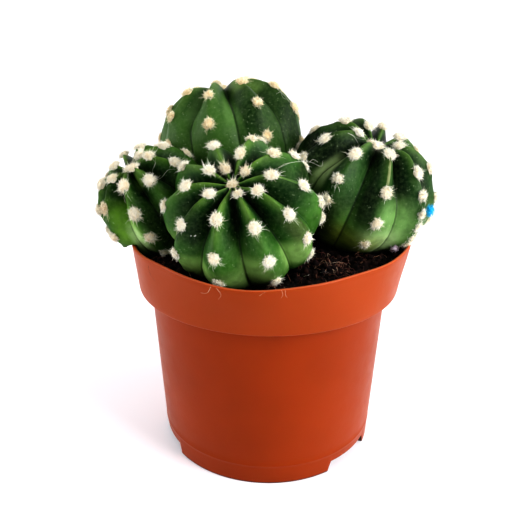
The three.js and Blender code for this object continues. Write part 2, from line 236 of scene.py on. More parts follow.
# Each stem's globe, then its ribs: how far each strays from an even turn, the angle from the tip to its
# first tuft, and the step to its second, which shrinks from tuft to tuft
STEMS = {
    "front": {
        "centre": (-7.4, -20.2, 81.2),
        "heading": -104.9,
        "tilt": 39.0,
        "radius": 22.1,
        "above": 19.1,
        "below": 20.0,
        "crown": 5.1,
        "furrow": 0.33,
        "fall": 1.7,
        "first_rib": -4.4,
        "bends": (-3, 0, 3, 0, -1, 0, 2, 1.5, -1.5, -2),
        "leads": (29, 23, 13, 34, 18, 33, 18, 12, 22, 12),
        "steps": (27, 29, 31, 29, 32, 31, 30, 25, 24, 26),
        "shrink": 0.93,
        "seed": 1,
    },
    "back": {
        "centre": (-12.7, 24.3, 94.6),
        "heading": 132.6,
        "tilt": 15.7,
        "radius": 24.0,
        "above": 19.3,
        "below": 33.0,
        "crown": 4.1,
        "furrow": 0.3,
        "fall": 2.6,
        "first_rib": -19.9,
        "bends": (1, 1, 0, -1, -1, 0, 0, 0, 0),
        "leads": (19, 36, 18, 35, 22, 38, 20, 33, 24),
        "steps": (29, 30, 31, 28, 30, 29, 31, 28, 30),
        "shrink": 0.94,
        "seed": 2,
    },
    "right": {
        "centre": (28.2, 3.8, 84.2),
        "heading": -36.1,
        "tilt": 21.9,
        "radius": 21.9,
        "above": 19.2,
        "below": 21.5,
        "crown": 6.3,
        "bulge": {"share": 0.16, "azimuth": 25, "from": 45, "to": 120},
        "furrow": 0.31,
        "fall": 2.0,
        "first_rib": -1.3,
        "bends": (-2.5, -0.5, 1.5, 1, -0.5, -1, 0.5, 3, -1),
        "leads": (16, 46, 30, 13, 20, 33, 19, 24, 22),
        "steps": (35, 19, 34, 31, 31, 30, 33, 30, 32),
        "shrink": 0.8,
        "seed": 3,
    },
    "left": {
        "centre": (-34.4, -1.9, 78.9),
        "heading": -148.8,
        "tilt": 34.5,
        "radius": 17.2,
        "above": 18.0,
        "below": 19.5,
        "crown": 3.8,
        "furrow": 0.32,
        "fall": 1.6,
        "first_rib": -19.3,
        "bends": (1, -1.5, 1.5, -3, 4, -1.5, 0, -1.5, 1.5),
        "leads": (28, 18, 35, 21, 34, 20, 33, 30, 16),
        "steps": (27, 28, 29, 32, 29, 30, 28, 27, 28),
        "shrink": 0.9,
        "seed": 4,
    },
}

# Hairs that came loose: the piece they lie on, their tone from white 0 to dark 1, and points on them
LOOSE_HAIRS = [
    ("front", 0.0, [(2.5, -24.6, 95.4), (6.0, -22.4, 96.4), (11.0, -17.4, 95.4), (14.6, -12.4, 93.0),
                    (15.2, -10.8, 94.6)]),
    ("front", 0.0, [(11.0, -17.4, 95.4), (12.2, -15.2, 95.6), (13.6, -14.6, 94.6)]),
    ("front", 0.1, [(2.0, -24.8, 95.2), (4.0, -24.4, 96.4), (5.6, -22.0, 96.2)]),
    ("front", 0.9, [(-15.4, -33.6, 90.2), (-14.0, -33.9, 89.0), (-14.6, -33.8, 87.6)]),
    ("front", 0.9, [(-16.0, -34.0, 88.6), (-14.8, -34.0, 88.4), (-13.4, -33.4, 88.8)]),
    ("back", 0.0, [(1.0, 19.6, 111.6), (4.4, 18.4, 108.6), (7.6, 16.8, 105.0), (8.4, 16.6, 102.4)]),
    ("back", 0.0, [(2.4, 19.4, 111.4), (5.4, 18.4, 109.8), (7.0, 17.4, 107.2)]),
    ("back", 0.0, [(1.6, 18.4, 108.8), (3.4, 17.8, 109.8), (5.4, 18.4, 109.4)]),
    ("back", 0.05, [(3.4, 19.6, 110.6), (4.0, 17.6, 108.2), (5.8, 17.0, 107.4)]),
    ("left", 0.0, [(-34.4, -10.8, 95.2), (-32.6, -10.9, 93.4), (-33.6, -11.2, 91.0), (-33.0, -11.4, 89.2)]),
    ("left", 0.0, [(-33.0, -15.6, 89.4), (-30.6, -14.0, 89.8), (-28.8, -12.4, 91.6), (-26.6, -12.0, 91.8)]),
    ("left", 0.0, [(-40.6, -17.4, 87.8), (-39.6, -18.6, 86.0), (-38.4, -18.8, 84.0)]),
    ("left", 0.1, [(-39.6, -17.4, 87.2), (-40.6, -18.4, 85.0), (-40.0, -18.8, 83.4)]),
    ("left", 0.1, [(-41.8, -12.6, 66.4), (-44.6, -11.0, 65.8), (-47.4, -9.8, 66.6)]),
    ("left", 0.1, [(-45.6, -9.4, 67.2), (-47.2, -9.0, 66.0), (-48.8, -8.6, 66.2)]),
    ("right", 0.0, [(22.6, -4.6, 101.0), (24.4, -4.6, 100.0), (25.8, -4.4, 98.0)]),
    ("right", 0.0, [(23.4, -4.6, 100.8), (25.4, -4.2, 99.6), (27.6, -4.0, 99.0)]),
    ("right", 1.0, [(45.6, -1.4, 69.2), (46.0, -1.8, 68.0), (47.0, -1.8, 67.2)]),
    ("right", 1.0, [(50.2, 0.2, 74.0), (50.6, 0.0, 72.8), (51.6, 0.2, 72.2)]),
    ("soil", 0.3, [(15.4, -19.7, 66.9), (17.5, -21.9, 67.4), (20.7, -21.1, 67.4), (23.5, -24.0, 66.8)]),
    ("soil", 0.1, [(14.2, -27.6, 66.8), (15.4, -28.6, 67.5), (16.6, -28.0, 67.0)]),
    ("soil", 0.0, [(9.6, -30.4, 66.8), (10.8, -31.4, 67.6), (11.2, -30.0, 67.2)]),
    ("pot", 1.0, [(-33.2, -27.2, 68.2), (-33.0, -27.0, 66.0), (-31.4, -28.2, 63.8)]),
    ("pot", 0.35, [(3.4, -43.9, 68.7), (3.7, -44.6, 67.7), (3.2, -44.6, 66.7)]),
    ("pot", 0.35, [(4.3, -43.9, 68.7), (4.4, -44.5, 67.6), (4.9, -44.4, 66.9)]),
    ("pot", 0.4, [(-2.2, -44.6, 67.4), (-1.4, -44.7, 68.0), (-0.6, -44.4, 68.5)]),
    ("pot", 0.4, [(-14.6, -42.0, 68.6), (-15.6, -42.0, 66.9), (-17.6, -41.0, 66.4)]),
    ("pot", 0.4, [(-13.2, -42.3, 68.4), (-12.0, -42.9, 66.8), (-12.8, -42.5, 65.2)]),
]
LOOSE = {"radius": 0.036, "spread": (0.7, 1.1), "tip": 0.5, "points": 14}
LINT = {"place": (46.0, -14.8, 80.9), "size": (1.15, 0.9, 1.8), "fibres": 150, "seed": 31}
FLUFF = {"place": (37.4, -11.4, 68.0), "size": (1.3, 1.3, 1.0), "fibres": 70, "seed": 32}
# The knot of fibres that lint and fluff share; roots and tips are shares of its size
TANGLE = {
    "lumps": 0.14,
    "lump_length": 0.8,
    "core": 0.55,
    "aside": 0.7,
    "tip": (0.8, 1.25),
    "root": 0.5,
    "middle": 1.2,
    "swing": 0.3,
    "taper": 0.3,
    "radius": (0.04, 0.08),
    "points": 5,
}
FLAKES = [(-20.1, -34.9, 79.8), (-19.2, -34.9, 79.7), (-18.9, -35.0, 79.9)]
FLAKE_SIZES = (0.12, 0.24)


# Light and colours

STAGE = {
    "floor_reach": 8.0,
    "floor_colors": ((0.80, 0.79, 0.82, 1), (0.82, 0.81, 0.84, 1)),
    "floor_noise": (3, 2),
    "floor_glow": 0.14,
    "glow_color": (0.97, 0.95, 1.0, 1),
    "aim_height": 0.06,
    "air_color": (1.0, 0.99, 1.0, 1),
    "horizon": 1.1,
    "horizon_levels": (0.02, 0.2),
    "front": 0.33,
    "backdrop": 0.95,
    "backdrop_depths": (-0.3, 0.6),
    "walls": 0.95,
    "wall_sides": (0.4, 0.95),
}
# Each lamp's name, kind, azimuth, elevation, distance, strength and colour, then its size: a sun's angle
# or a panel's two sides
LAMPS = [
    ("key", "SUN", 72, 28, 1.0, 1.5, (1.0, 0.99, 0.98), 50),
    ("softbox", "AREA", 52, 24, 0.34, 0.6, (1.0, 0.98, 0.97), (0.14, 0.2)),
    ("fill", "AREA", -84, 16, 0.75, 2.1, (1.0, 0.98, 0.98), (0.3, 0.5)),
]
# A noise below is its scale in bumps a metre, its detail and perhaps its roughness. A range is a low and a
# high value, and perhaps what they turn into. A bump is its height in metres and its strength.
# The first range holds most of a noise's values
NOISE_RANGE = (0.3, 0.7)
PLASTIC = {
    "colors": (srgb(132, 50, 4), srgb(140, 54, 6)),
    "cloud_noise": (38, 3),
    "speck_color": srgb(60, 20, 12),
    "speck_cells": 420,
    "speck_range": (0.05, 0.09, 1.0, 0.0),
    "rare_noise": (160, 1),
    "rare_range": (0.66, 0.7),
    "rough_noise": (210, 3),
    "roughness": (0.34, 0.42),
    "peel_noise": (900, 2),
    "peel_bump": (0.00004, 0.5),
}
# Light and shade painted on parts of the pot, and how much of it they take: the collar painted lighter, as
# lit from above, a painted highlight along the lip, and a painted shadow along the foot's bottom edge
POT_LIGHT_AND_SHADE = {
    "collar": (srgb(164, 80, 34), 0.3),
    "lip": (srgb(226, 130, 90), 0.3),
    "foot_edge_shadow": (srgb(44, 14, 10), 0.9),
}
# Each stem's colours: deep in its furrows as painted shade, between, on its young ridges, and pale lower down
# as painted light from below
SKINS = {
    "front": (srgb(6, 32, 9), srgb(36, 78, 27), srgb(98, 130, 56), srgb(82, 126, 50)),
    "back": (srgb(46, 76, 34), srgb(58, 90, 40), srgb(86, 114, 54), srgb(66, 100, 42)),
    "right": (srgb(5, 26, 8), srgb(25, 59, 21), srgb(84, 114, 54), srgb(104, 146, 72)),
    "left": (srgb(12, 38, 10), srgb(38, 76, 22), srgb(92, 124, 48), srgb(80, 122, 40)),
}
SKIN = {
    "cloud_noise": (110, 2),
    # The least and most share of the pale colour painted lower down as light from below, then the sides
    # across a rib between which the furrows' painted shade comes in
    "lower_light_share": (0.15, 0.55),
    "furrow_sides": (0.1, 0.75),
    "young_sides": (0.0, 0.5, 0.8, 0.0),
    "young_angles": (18, 75, 1.0, 0.0),
    "mottle_noise": (330, 5, 0.6),
    "mottle_range": (0.42, 0.7, 0.0, 0.3),
    "fine_noise": (1000, 3, 0.6),
    "haze_color": srgb(140, 168, 110),
    "haze_range": (0.35, 0.75, 0.0, 0.1),
    # A line painted dark as shade along each furrow's bottom: its colour, the sides across a rib, and angles
    # from the tip with the strength at each
    "crease_shade_color": srgb(8, 20, 8),
    "crease_sides": (0.93, 0.99),
    "crease_angles": (25, 70, 0.2, 0.55),
    "dot_color": srgb(180, 198, 160),
    "dot_cells": 1100,
    "dot_range": (0.1, 0.2, 1.0, 0.0),
    "rare_noise": (500, 1),
    "rare_range": (0.5, 0.62),
    "dot_strength": 0.4,
    "roughness": (0.38, 0.5),
    "grain_noise": (1500, 3),
    "grain_bump": (0.00004, 0.5),
}
# Angles from the tip between which the furrows' painted shade fades
FURROW_SHADE_ANGLES = {"front": (36, 84), "back": (36, 84), "right": (60, 110), "left": (46, 92)}
# Patches of painted light and shade, with a few of the skin's own tints among them: turn in ribs and its
# reach, angle from the tip and its reach, colour
LIGHT_AND_SHADE_PATCHES = {
    "front": [(9.0, 0.35, 70, 26, srgb(66, 80, 42)), (9.7, 0.6, 45, 28, srgb(16, 46, 16)),
              (6.6, 1.9, 106, 32, srgb(146, 182, 108)), (6.15, 0.5, 48, 28, srgb(10, 34, 10)),
              (8.7, 0.5, 91, 21, srgb(136, 172, 100)), (7.7, 0.36, 85, 20, srgb(134, 170, 96)),
              (6.45, 0.45, 93, 20, srgb(134, 170, 96)), (0.75, 0.3, 80, 18, srgb(4, 14, 4))],
    "left": [(6.5, 0.5, 72, 36, srgb(108, 154, 50)), (6.6, 0.3, 92, 26, srgb(170, 200, 140)),
             (7.4, 0.5, 92, 34, srgb(5, 14, 5)), (6.15, 0.3, 32, 16, srgb(18, 46, 12)),
             (7.6, 0.3, 32, 14, srgb(96, 130, 56))],
    "right": [(7.4, 0.55, 99, 40, srgb(106, 144, 82)), (7.25, 0.6, 122, 30, srgb(180, 208, 152)),
              (6.7, 0.9, 128, 30, srgb(140, 154, 66)), (5.56, 0.27, 71, 30, srgb(152, 174, 122)),
              (6.35, 0.4, 62, 28, srgb(48, 82, 38)), (5.95, 0.5, 108, 32, srgb(4, 14, 4)),
              (4.5, 0.7, 68, 18, srgb(4, 14, 4)), (7.0, 0.05, 48, 18, srgb(132, 138, 96)),
              (5.1, 0.34, 58, 30, srgb(6, 20, 6)), (6.75, 0.22, 80, 24, srgb(6, 22, 6))],
    "back": [(8.6, 1.5, 60, 66, srgb(30, 54, 20)), (0.0, 1.2, 60, 66, srgb(30, 54, 20)),
             (7.8, 0.25, 78, 24, srgb(10, 36, 8)), (8.9, 0.5, 84, 30, srgb(16, 38, 12)),
             (7.45, 0.22, 62, 32, srgb(84, 118, 62)), (6.45, 0.24, 48, 30, srgb(84, 118, 62)),
             (8.3, 0.8, 32, 15, srgb(112, 142, 76))],
}
# How strong a patch is, and the share of its reach that it fills evenly, across and along
PATCH = {"strength": 0.8, "across": 0.4, "along": 0.3}
# Each stem's wool, clean and tan
WOOLS = {
    "front": (srgb(254, 253, 242), srgb(238, 224, 190)),
    "back": (srgb(254, 249, 224), srgb(236, 212, 164)),
    "right": (srgb(254, 253, 243), srgb(238, 224, 190)),
    "left": (srgb(254, 252, 240), srgb(242, 228, 196)),
}
# Places on the tone and their colours; the wool's first two colours are each stem's own
SPINE_STOP = (0.9, srgb(150, 105, 60))
WOOL_PLACES = (0.0, 0.45)
HAIR_STOPS = [(0.0, srgb(244, 242, 232)), (0.4, srgb(214, 190, 160)), (0.9, srgb(44, 34, 28))]
PEAT_STOPS = [(0.0, srgb(8, 3, 3)), (0.4, srgb(22, 10, 9)), (1.0, srgb(66, 38, 28))]
COIR_STOPS = [(0.0, srgb(30, 12, 12)), (0.45, srgb(108, 58, 54)), (0.75, srgb(180, 132, 108)),
              (1.0, srgb(236, 208, 180))]
# The noise that varies each tone, and the least and most that it adds
TONE_NOISES = {
    "wool": ((600, 2), (-0.1, 0.15)),
    "hair": ((600, 2), (-0.05, 0.05)),
    "peat": ((700, 3), (-0.25, 0.25)),
    "coir": ((400, 2), (-0.1, 0.1)),
}
PEAT_GRAIN = {"noise": (1800, 4), "bump": (0.0002, 0.8)}
FUZZ_MOTTLE = {"noise": (900, 2), "range": (0.35, 0.65)}
# Two colours of each bit caught on the plant
FUZZ = {
    "blue_lint": (srgb(44, 206, 250), srgb(12, 168, 222)),
    "pale_fluff": (srgb(206, 192, 206), srgb(150, 128, 140)),
    "white_dust": (srgb(244, 246, 240), srgb(210, 214, 204)),
}


# Small numeric helpers

def smoothstep(value, low, high):
    share = np.clip((value - low) / (high - low), 0.0, 1.0)
    return share * share * (3.0 - 2.0 * share)


def unit(vectors):
    return vectors / np.maximum(np.linalg.norm(vectors, axis=-1, keepdims=True), TINY)


def waves(points, length, seed):
    """A smooth random field with a spread of 1, whose bumps are about length apart."""
    count = WAVES["count"]
    random = np.random.default_rng(seed)
    directions = unit(random.normal(size=(count, 3)))
    pace = 2.0 * np.pi / length * random.uniform(*WAVES["paces"], (count, 1))
    phases = random.uniform(0.0, 2.0 * np.pi, count)
    return np.sin(points @ (directions * pace).T + phases).sum(-1) / math.sqrt(count / 2)


def grid_faces(rows, columns, first=0):
    """Quads of a grid that closes round its columns."""
    row, column = np.meshgrid(np.arange(rows - 1), np.arange(columns), indexing="ij")
    after = (column + 1) % columns
    corners = [row * columns + column, (row + 1) * columns + column,
               (row + 1) * columns + after, row * columns + after]
    return (np.stack(corners, -1).reshape(-1, 4) + first).tolist()


def add_piece(name, points, faces, material, attributes=None):
    """A mesh object from points in millimetres, which rides on the part's one body."""
    mesh = bpy.data.meshes.new(name)
    mesh.from_pydata(((np.asarray(points) + POT_AXIS) * MM).tolist(), [], faces)
    for key, values in (attributes or {}).items():
        layer = mesh.attributes.new(key, "FLOAT", "POINT")
        layer.data.foreach_set("value", np.asarray(values, np.float32))
    mesh.polygons.foreach_set("use_smooth", np.full(len(mesh.polygons), True))
    mesh.materials.append(material)
    mesh.update()
    piece = bpy.data.objects.new(name, mesh)
    bpy.context.scene.collection.objects.link(piece)
    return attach(piece, "root")


# Fibres: tapered hairs with few sides along curves

def fibre_mesh(lines, radii, random):
    """Closed hairs along lines[fibre, point], each ending in a tip: points, faces and points in each."""
    count, length, _ = lines.shape
    tangents = unit(np.gradient(lines, axis=1))
    aside = unit(random.normal(size=(count, 1, 3)))
    first = unit(np.cross(tangents, aside))
    second = np.cross(tangents, first)
    rings = []
    for corner in range(FIBRE_SIDES):
        turn = 2.0 * math.pi * corner / FIBRE_SIDES
        rings.append(lines + radii[:, :, None] * (first * math.cos(turn) + second * math.sin(turn)))
    body = np.stack(rings, 2)[:, :-1].reshape(count, -1, 3)
    points = np.concatenate([body, lines[:, -1:]], 1)
    per_fibre = points.shape[1]
    pattern = grid_faces(length - 1, FIBRE_SIDES)
    tip = per_fibre - 1
    last = tip - FIBRE_SIDES
    pattern += [[last + corner, tip, last + (corner + 1) % FIBRE_SIDES] for corner in range(FIBRE_SIDES)]
    pattern.append(list(range(FIBRE_SIDES)))
    faces = [[index + fibre * per_fibre for index in face] for fibre in range(count) for face in pattern]
    return points.reshape(-1, 3), faces, per_fibre


def bezier(start, middle, end, steps):
    """Curves from start to end, one for each row of points."""
    share = np.linspace(0.0, 1.0, steps)[None, :, None]
    return ((1 - share) ** 2 * start[:, None] + 2 * share * (1 - share) * middle[:, None]
            + share ** 2 * end[:, None])


# The stems' form, the same as the solids' but finer

def stem_axes(spec):
    """A stem's own directions: across, back and up to its tip."""
    tilt, heading = math.radians(spec["tilt"]), math.radians(spec["heading"])
    up = np.array([math.sin(tilt) * math.cos(heading), math.sin(tilt) * math.sin(heading), math.cos(tilt)])
    across = unit(np.cross([0.0, 1.0, 0.0], up))
    return across, np.cross(up, across), up


def bulge_scale(spec, points):
    """How much wider a stem is at points in its own frame, where it bulges to one side."""
    if "bulge" not in spec:
        return np.ones((len(points), 1))
    bulge = spec["bulge"]
    angle = np.degrees(np.arctan2(np.hypot(points[:, 0], points[:, 1]), points[:, 2]))
    aside = (1 + np.cos(np.arctan2(points[:, 1], points[:, 0]) - math.radians(bulge["azimuth"]))) / 2
    return (1 + bulge["share"] * aside * smoothstep(angle, bulge["from"], bulge["to"]))[:, None]


def to_world(spec, points):
    """Points of a stem's own frame, among the rest; to_stem goes the other way."""
    points = np.array(points, float)
    points[:, :2] *= bulge_scale(spec, points)
    return points @ np.array(stem_axes(spec)) + np.array(spec["centre"])


def to_stem(spec, points):
    local = (points - np.array(spec["centre"])) @ np.array(stem_axes(spec)).T
    local[:, :2] /= bulge_scale(spec, local)
    return local


def crest(spec, angle, grow=0.0):
    """Distance from the stem's axis and height along it, of a rib crest at an angle from the tip."""
    sine, cosine = np.sin(np.radians(angle)), np.cos(np.radians(angle))
    upper = np.asarray(angle) < 90
    dip = np.where(upper, spec["crown"] * np.exp(-((sine / CROWN_WIDTH) ** 2)), 0.0)
    half = np.where(upper, spec["above"], spec["below"]) + grow
    return (spec["radius"] + grow) * sine, half * cosine - dip


def globe_bottom(spec):
    """The lowest point of a globe's own axis, where its root neck starts."""
    return to_world(spec, [[0, 0, crest(spec, 180.0)[1]]])[0]


def rib_azimuth(spec, rib):
    """Azimuth of a rib in its stem's own frame; ribs count clockwise."""
    count = len(spec["leads"])
    return spec["first_rib"] - rib * 360.0 / count + np.array(spec["bends"])[np.mod(rib, count)]


def turn_azimuth(spec, turn):
    """Azimuth at a turn, which counts ribs anticlockwise from rib 0."""
    low = np.floor(turn).astype(int)
    share = turn - low
    return (1 - share) * rib_azimuth(spec, -low) + share * rib_azimuth(spec, -low - 1)


def rib_side(turn):
    """How far across its rib's face a turn lies: 0 at the crest and 1 at the furrow."""
    share = turn - np.floor(turn)
    return 2 * np.minimum(share, 1 - share)


def face_scale(spec, angle, side):
    """A face's distance from the stem's middle, as a share of its crest's."""
    share = angle / FURROW_PEAK
    depth = spec["furrow"] * (share * np.exp(1 - share)) ** spec["fall"]
    blend = smoothstep(angle, FACE["from"], FACE["to"])
    power = FACE["top_power"] + (FACE["low_power"] - FACE["top_power"]) * blend
    return 1 - depth * side ** power


def closeness(spec, points, grow):
    """A point's distance from the stem's middle, as a share of the surface's in the same direction."""
    local = to_stem(spec, points)
    angles = np.arange(0, 180.5, 0.5)
    radius, height = crest(spec, angles, grow)
    table = np.degrees(np.arctan2(radius, height))
    flat = np.hypot(local[:, 0], local[:, 1])
    angle = np.interp(np.degrees(np.arctan2(flat, local[:, 2])), table, angles)
    spare = 2
    turns = np.arange(-spare, len(spec["leads"]) + spare + 1)
    azimuths = turn_azimuth(spec, turns)
    azimuth = np.degrees(np.arctan2(local[:, 1], local[:, 0]))
    azimuth = azimuths[spare] + np.mod(azimuth - azimuths[spare], 360)
    turn = np.interp(azimuth, azimuths, turns)
    side = rib_side(turn)
    radius, height = crest(spec, angle, grow)
    reach = np.hypot(radius, height) * face_scale(spec, angle, side)
    return np.linalg.norm(local, axis=1) / reach


def press_clear(spec, points, neighbours):
    """Draws points towards the stem's middle until they lie outside its neighbours."""
    centre = np.array(spec["centre"])
    for other in neighbours:
        inside = closeness(other, points, GAP) < 1
        low, high = np.zeros(inside.sum()), np.ones(inside.sum())
        rays = points[inside] - centre
        for _ in range(CLEARING["halvings"]):
            middle = (low + high) / 2
            hit = closeness(other, centre + rays * middle[:, None], GAP) < 1
            low, high = np.where(hit, low, middle), np.where(hit, middle, high)
        points[inside] = centre + rays * low[:, None]
    return points


def in_wall(points):
    """True for points less than the gap from the pot's collar."""
    azimuth = np.degrees(np.arctan2(points[:, 0], -points[:, 1]))
    share = (points[:, 2] - POT["collar_bottom"]) / (POT["height"] - POT["collar_bottom"])
    bend = rim_shift(azimuth) * smoothstep(share, 0, 1)
    outer = POT["collar_radius"] + (POT["rim_radius"] - POT["collar_radius"]) * share + bend
    away = np.hypot(points[:, 0], points[:, 1])
    top = POT["height"] + RIM_DIP * bend + GAP
    return (away > outer - POT["wall"] - GAP) & (away < outer + GAP) & (points[:, 2] < top)


def clear_wall(spec, points):
    """Draws points towards the stem's middle where the pot's wall is in their way."""
    centre = np.array(spec["centre"])
    rays = points - centre
    reach = np.ones(len(points))
    for share in np.linspace(1, CLEARING["least"], CLEARING["steps"]):
        reach[in_wall(centre + rays * share)] = share
    return centre + rays * reach[:, None]


def areole_angles(spec, rib):
    """Angles from the tip of a rib's tufts."""
    angles = []
    angle, step = spec["leads"][rib], spec["steps"][rib]
    while angle < TUFT["lowest_angle"]:
        angles.append(angle)
        angle += step
        step *= spec["shrink"]
    return angles


def globe_points(spec, angles, turn, side):
    """The globe's growing tip and rings of points, in its own frame."""
    azimuth = np.radians(turn_azimuth(spec, turn))
    radius, height = (values[:, None] for values in crest(spec, angles))
    scale = face_scale(spec, angles[:, None], side[None, :])
    swell = areole_swell(spec, angles, turn, side)
    across = np.exp(-((1 - side) / CREASE["width"]) ** 2)[None, :]
    crease = CREASE["depth"] * across * smoothstep(angles, CREASE["from"], CREASE["to"])[:, None]
    reach = np.hypot(radius, height)
    scale = scale + (swell - crease) / reach
    grid = np.stack([radius * scale * np.cos(azimuth), radius * scale * np.sin(azimuth),
                     height * scale + 0 * azimuth], -1)
    tip = np.array([[0, 0, crest(spec, 0.0)[1]]], float)
    return np.concatenate([tip, grid.reshape(-1, 3)])


def stem_flesh(name, neighbours):
    """The ribbed globe with its root neck: points, faces, and where each point lies on its rib."""
    spec = STEMS[name]
    columns = len(spec["leads"]) * COLUMNS_PER_RIB
    angles = NECK["start"] * np.linspace(0, 1, RINGS + 1)[1:] ** RING_SPACING
    turn = np.arange(columns) / COLUMNS_PER_RIB
    side = rib_side(turn)
    world = to_world(spec, globe_points(spec, angles, turn, side))
    out = unit(world - np.array(spec["centre"]))
    rough = sum(high * waves(world, long, spec["seed"] + more) for high, long, more in FLESH_WAVES)
    world += out * rough[:, None]
    world = clear_wall(spec, press_clear(spec, world, neighbours))
    points, rows = add_neck(spec, world, np.radians(turn_azimuth(spec, turn)))
    faces = [[0, 1 + column, 1 + (column + 1) % columns] for column in range(columns)]
    faces += grid_faces(rows, columns, 1)
    faces.append([1 + (rows - 1) * columns + column for column in reversed(range(columns))])
    all_angles = np.concatenate([angles, np.full(rows - RINGS, 180.0)])
    attributes = {
        "side": np.concatenate([[0], np.tile(side, rows)]),
        "rib": np.concatenate([[0], np.tile(turn, rows)]),
        "tip_angle": np.concatenate([[0], np.repeat(all_angles, columns)]),
    }
    return points, faces, attributes


def areole_swell(spec, angles, turn, side):
    """The low swelling that carries each areole, with shallow saddles between them."""
    count = len(spec["leads"])
    swell = np.zeros((len(angles), len(turn)))
    nearest = np.mod(-np.round(turn).astype(int), count)
    for rib in range(count):
        away = [(angles - angle - SWELL["offset"]) / SWELL["along"] for angle in areole_angles(spec, rib)]
        along = sum(np.exp(-steps ** 2) for steps in away)
        on_rib = np.where(nearest == rib, np.exp(-((side / SWELL["across"]) ** 2)), 0.0)
        swell += along[:, None] * on_rib[None, :]
    return SWELL["height"] * swell - SWELL["saddle"]


def add_neck(spec, world, azimuth):
    """Continues the last ring of a globe straight down into the soil, as the tapering neck."""
    across, back, _ = stem_axes(spec)
    foot = globe_bottom(spec)
    spokes = np.cos(azimuth)[:, None] * across + np.sin(azimuth)[:, None] * back
    spokes = unit(spokes * np.array([1.0, 1.0, 0.0]))
    shares = np.linspace(0, 1, NECK["rings"])
    rings = []
    for share in shares:
        width = NECK["radius"] + (NECK["tip_radius"] - NECK["radius"]) * share
        ring = foot + spokes * width
        ring[:, 2] = foot[2] - NECK["drop"] - (NECK["depth"] - NECK["drop"]) * share
        rings.append(ring)
    return np.concatenate([world, *rings]), RINGS + len(shares)


# Areoles: felted tufts with a ragged fringe and small spines

def inside_outline(spec, point, margin):
    """True for a point inside a stem's plain globe, or less than the margin from it."""
    local = to_stem(spec, point[None])[0]
    half = spec["above"] if local[2] > 0 else spec["below"]
    flat = math.hypot(local[0], local[1])
    return (flat / (spec["radius"] + margin)) ** 2 + (local[2] / (half + margin)) ** 2 < 1


def areole_frame(spec, rib, angle):
    """A tuft's foot, and its directions across the rib, towards the root and outwards."""
    axes = np.array(stem_axes(spec))
    radius, height = crest(spec, angle)
    next_radius, next_height = crest(spec, angle + 1)
    azimuth = math.radians(rib_azimuth(spec, rib))
    spoke = np.array([math.cos(azimuth), math.sin(azimuth), 0.0])
    down = unit(spoke * (next_radius - radius) + np.array([0, 0, next_height - height]))
    across = np.array([-spoke[1], spoke[0], 0.0])
    out = -np.cross(across, down)
    foot = spoke * radius + np.array([0, 0, height]) - out * TUFT["sunk"]
    return to_world(spec, foot[None])[0], np.array([across @ axes, down @ axes, out @ axes])


def areoles(name):
    """A stem's tufts, without those that its neighbours or the soil cover."""
    spec = STEMS[name]
    others = [STEMS[other] for other in STEMS if other != name]
    places = [(0, -1, 0.0)]
    for rib in range(len(spec["leads"])):
        places += [(rib, index, angle) for index, angle in enumerate(areole_angles(spec, rib))]
    found = []
    for rib, index, angle in places:
        foot, axes = areole_frame(spec, rib, angle)
        low = foot[2] <= SOIL["edge_height"] + TUFT["height"]
        if low or any(inside_outline(other, foot, GAP) for other in others):
            continue
        young = TUFT["young_size"] + (1 - TUFT["young_size"]) * smoothstep(angle, 0, TUFT["young_angle"])
        size = TUFT["apex_size"] if angle == 0 else float(young)
        found.append({"foot": foot, "axes": axes, "size": size, "angle": angle, "rib": rib, "index": index})
    return found


def icosphere(subdivisions):
    """Points and triangles of a ball with a radius of 1."""
    bm = bmesh.new()
    bmesh.ops.create_icosphere(bm, subdivisions=subdivisions, radius=1.0)
    bm.verts.index_update()
    sphere = np.array([vertex.co for vertex in bm.verts])
    faces = np.array([[vertex.index for vertex in face.verts] for face in bm.faces])
    bm.free()
    return sphere, faces


def felt_core(stretch, random):
    """The lumpy cushion under the wool."""
    sphere, faces = icosphere(2)
    seeds = random.integers(1 << 30, size=2)
    lumps = 1
    for (high, long), seed in zip(FELT["waves"], seeds):
        lumps = lumps + high * waves(sphere, long, seed)
    return sphere * lumps[:, None] * stretch * FELT["size"], faces.tolist()


def matted_fibres(kind, stretch, random):
    """Short curls that lie over the whole cushion."""
    count = kind["count"]
    height, turn = random.uniform(kind["lowest"], 1.0, count), random.uniform(0, 2 * math.pi, count)
    flat = np.sqrt(1 - height ** 2)
    out = np.stack([flat * np.cos(turn), flat * np.sin(turn), height], -1)
    start = out * stretch
    aside = unit(np.cross(out, random.normal(size=(count, 3))))
    end = start + aside * stretch * random.uniform(*kind["reach"], (count, 1))
    end *= random.uniform(*kind["height"], (count, 1)) / np.linalg.norm(end / stretch, axis=1, keepdims=True)
    end[:, 2] = np.maximum(end[:, 2], 0.0)
    middle = (start + end) / 2 + out * random.uniform(*kind["arch"], (count, 1))
    return bezier(start * kind["root"], middle, end, WOOL_POINTS)


def bristles(kind, stretch, random):
    """Short hairs that stand out all round a tuft."""
    count = kind["count"]
    turn, rise = random.uniform(0, 2 * math.pi, count), random.beta(*kind["rise"], count) * kind["steepest"]
    out = np.stack([np.cos(turn) * np.cos(rise), np.sin(turn) * np.cos(rise), np.sin(rise)], -1)
    start = out * stretch * kind["root"]
    length = random.gamma(*kind["length"], (count, 1)).clip(*kind["limits"])
    end = out * stretch * kind["tip"] + unit(out + kind["stray"] * random.normal(size=(count, 3))) * length
    end[:, 2] = np.maximum(end[:, 2], kind["lowest"])
    middle = (start + end) / 2 + kind["sway"] * random.normal(size=(count, 3))
    return bezier(start, middle, end, WOOL_POINTS)


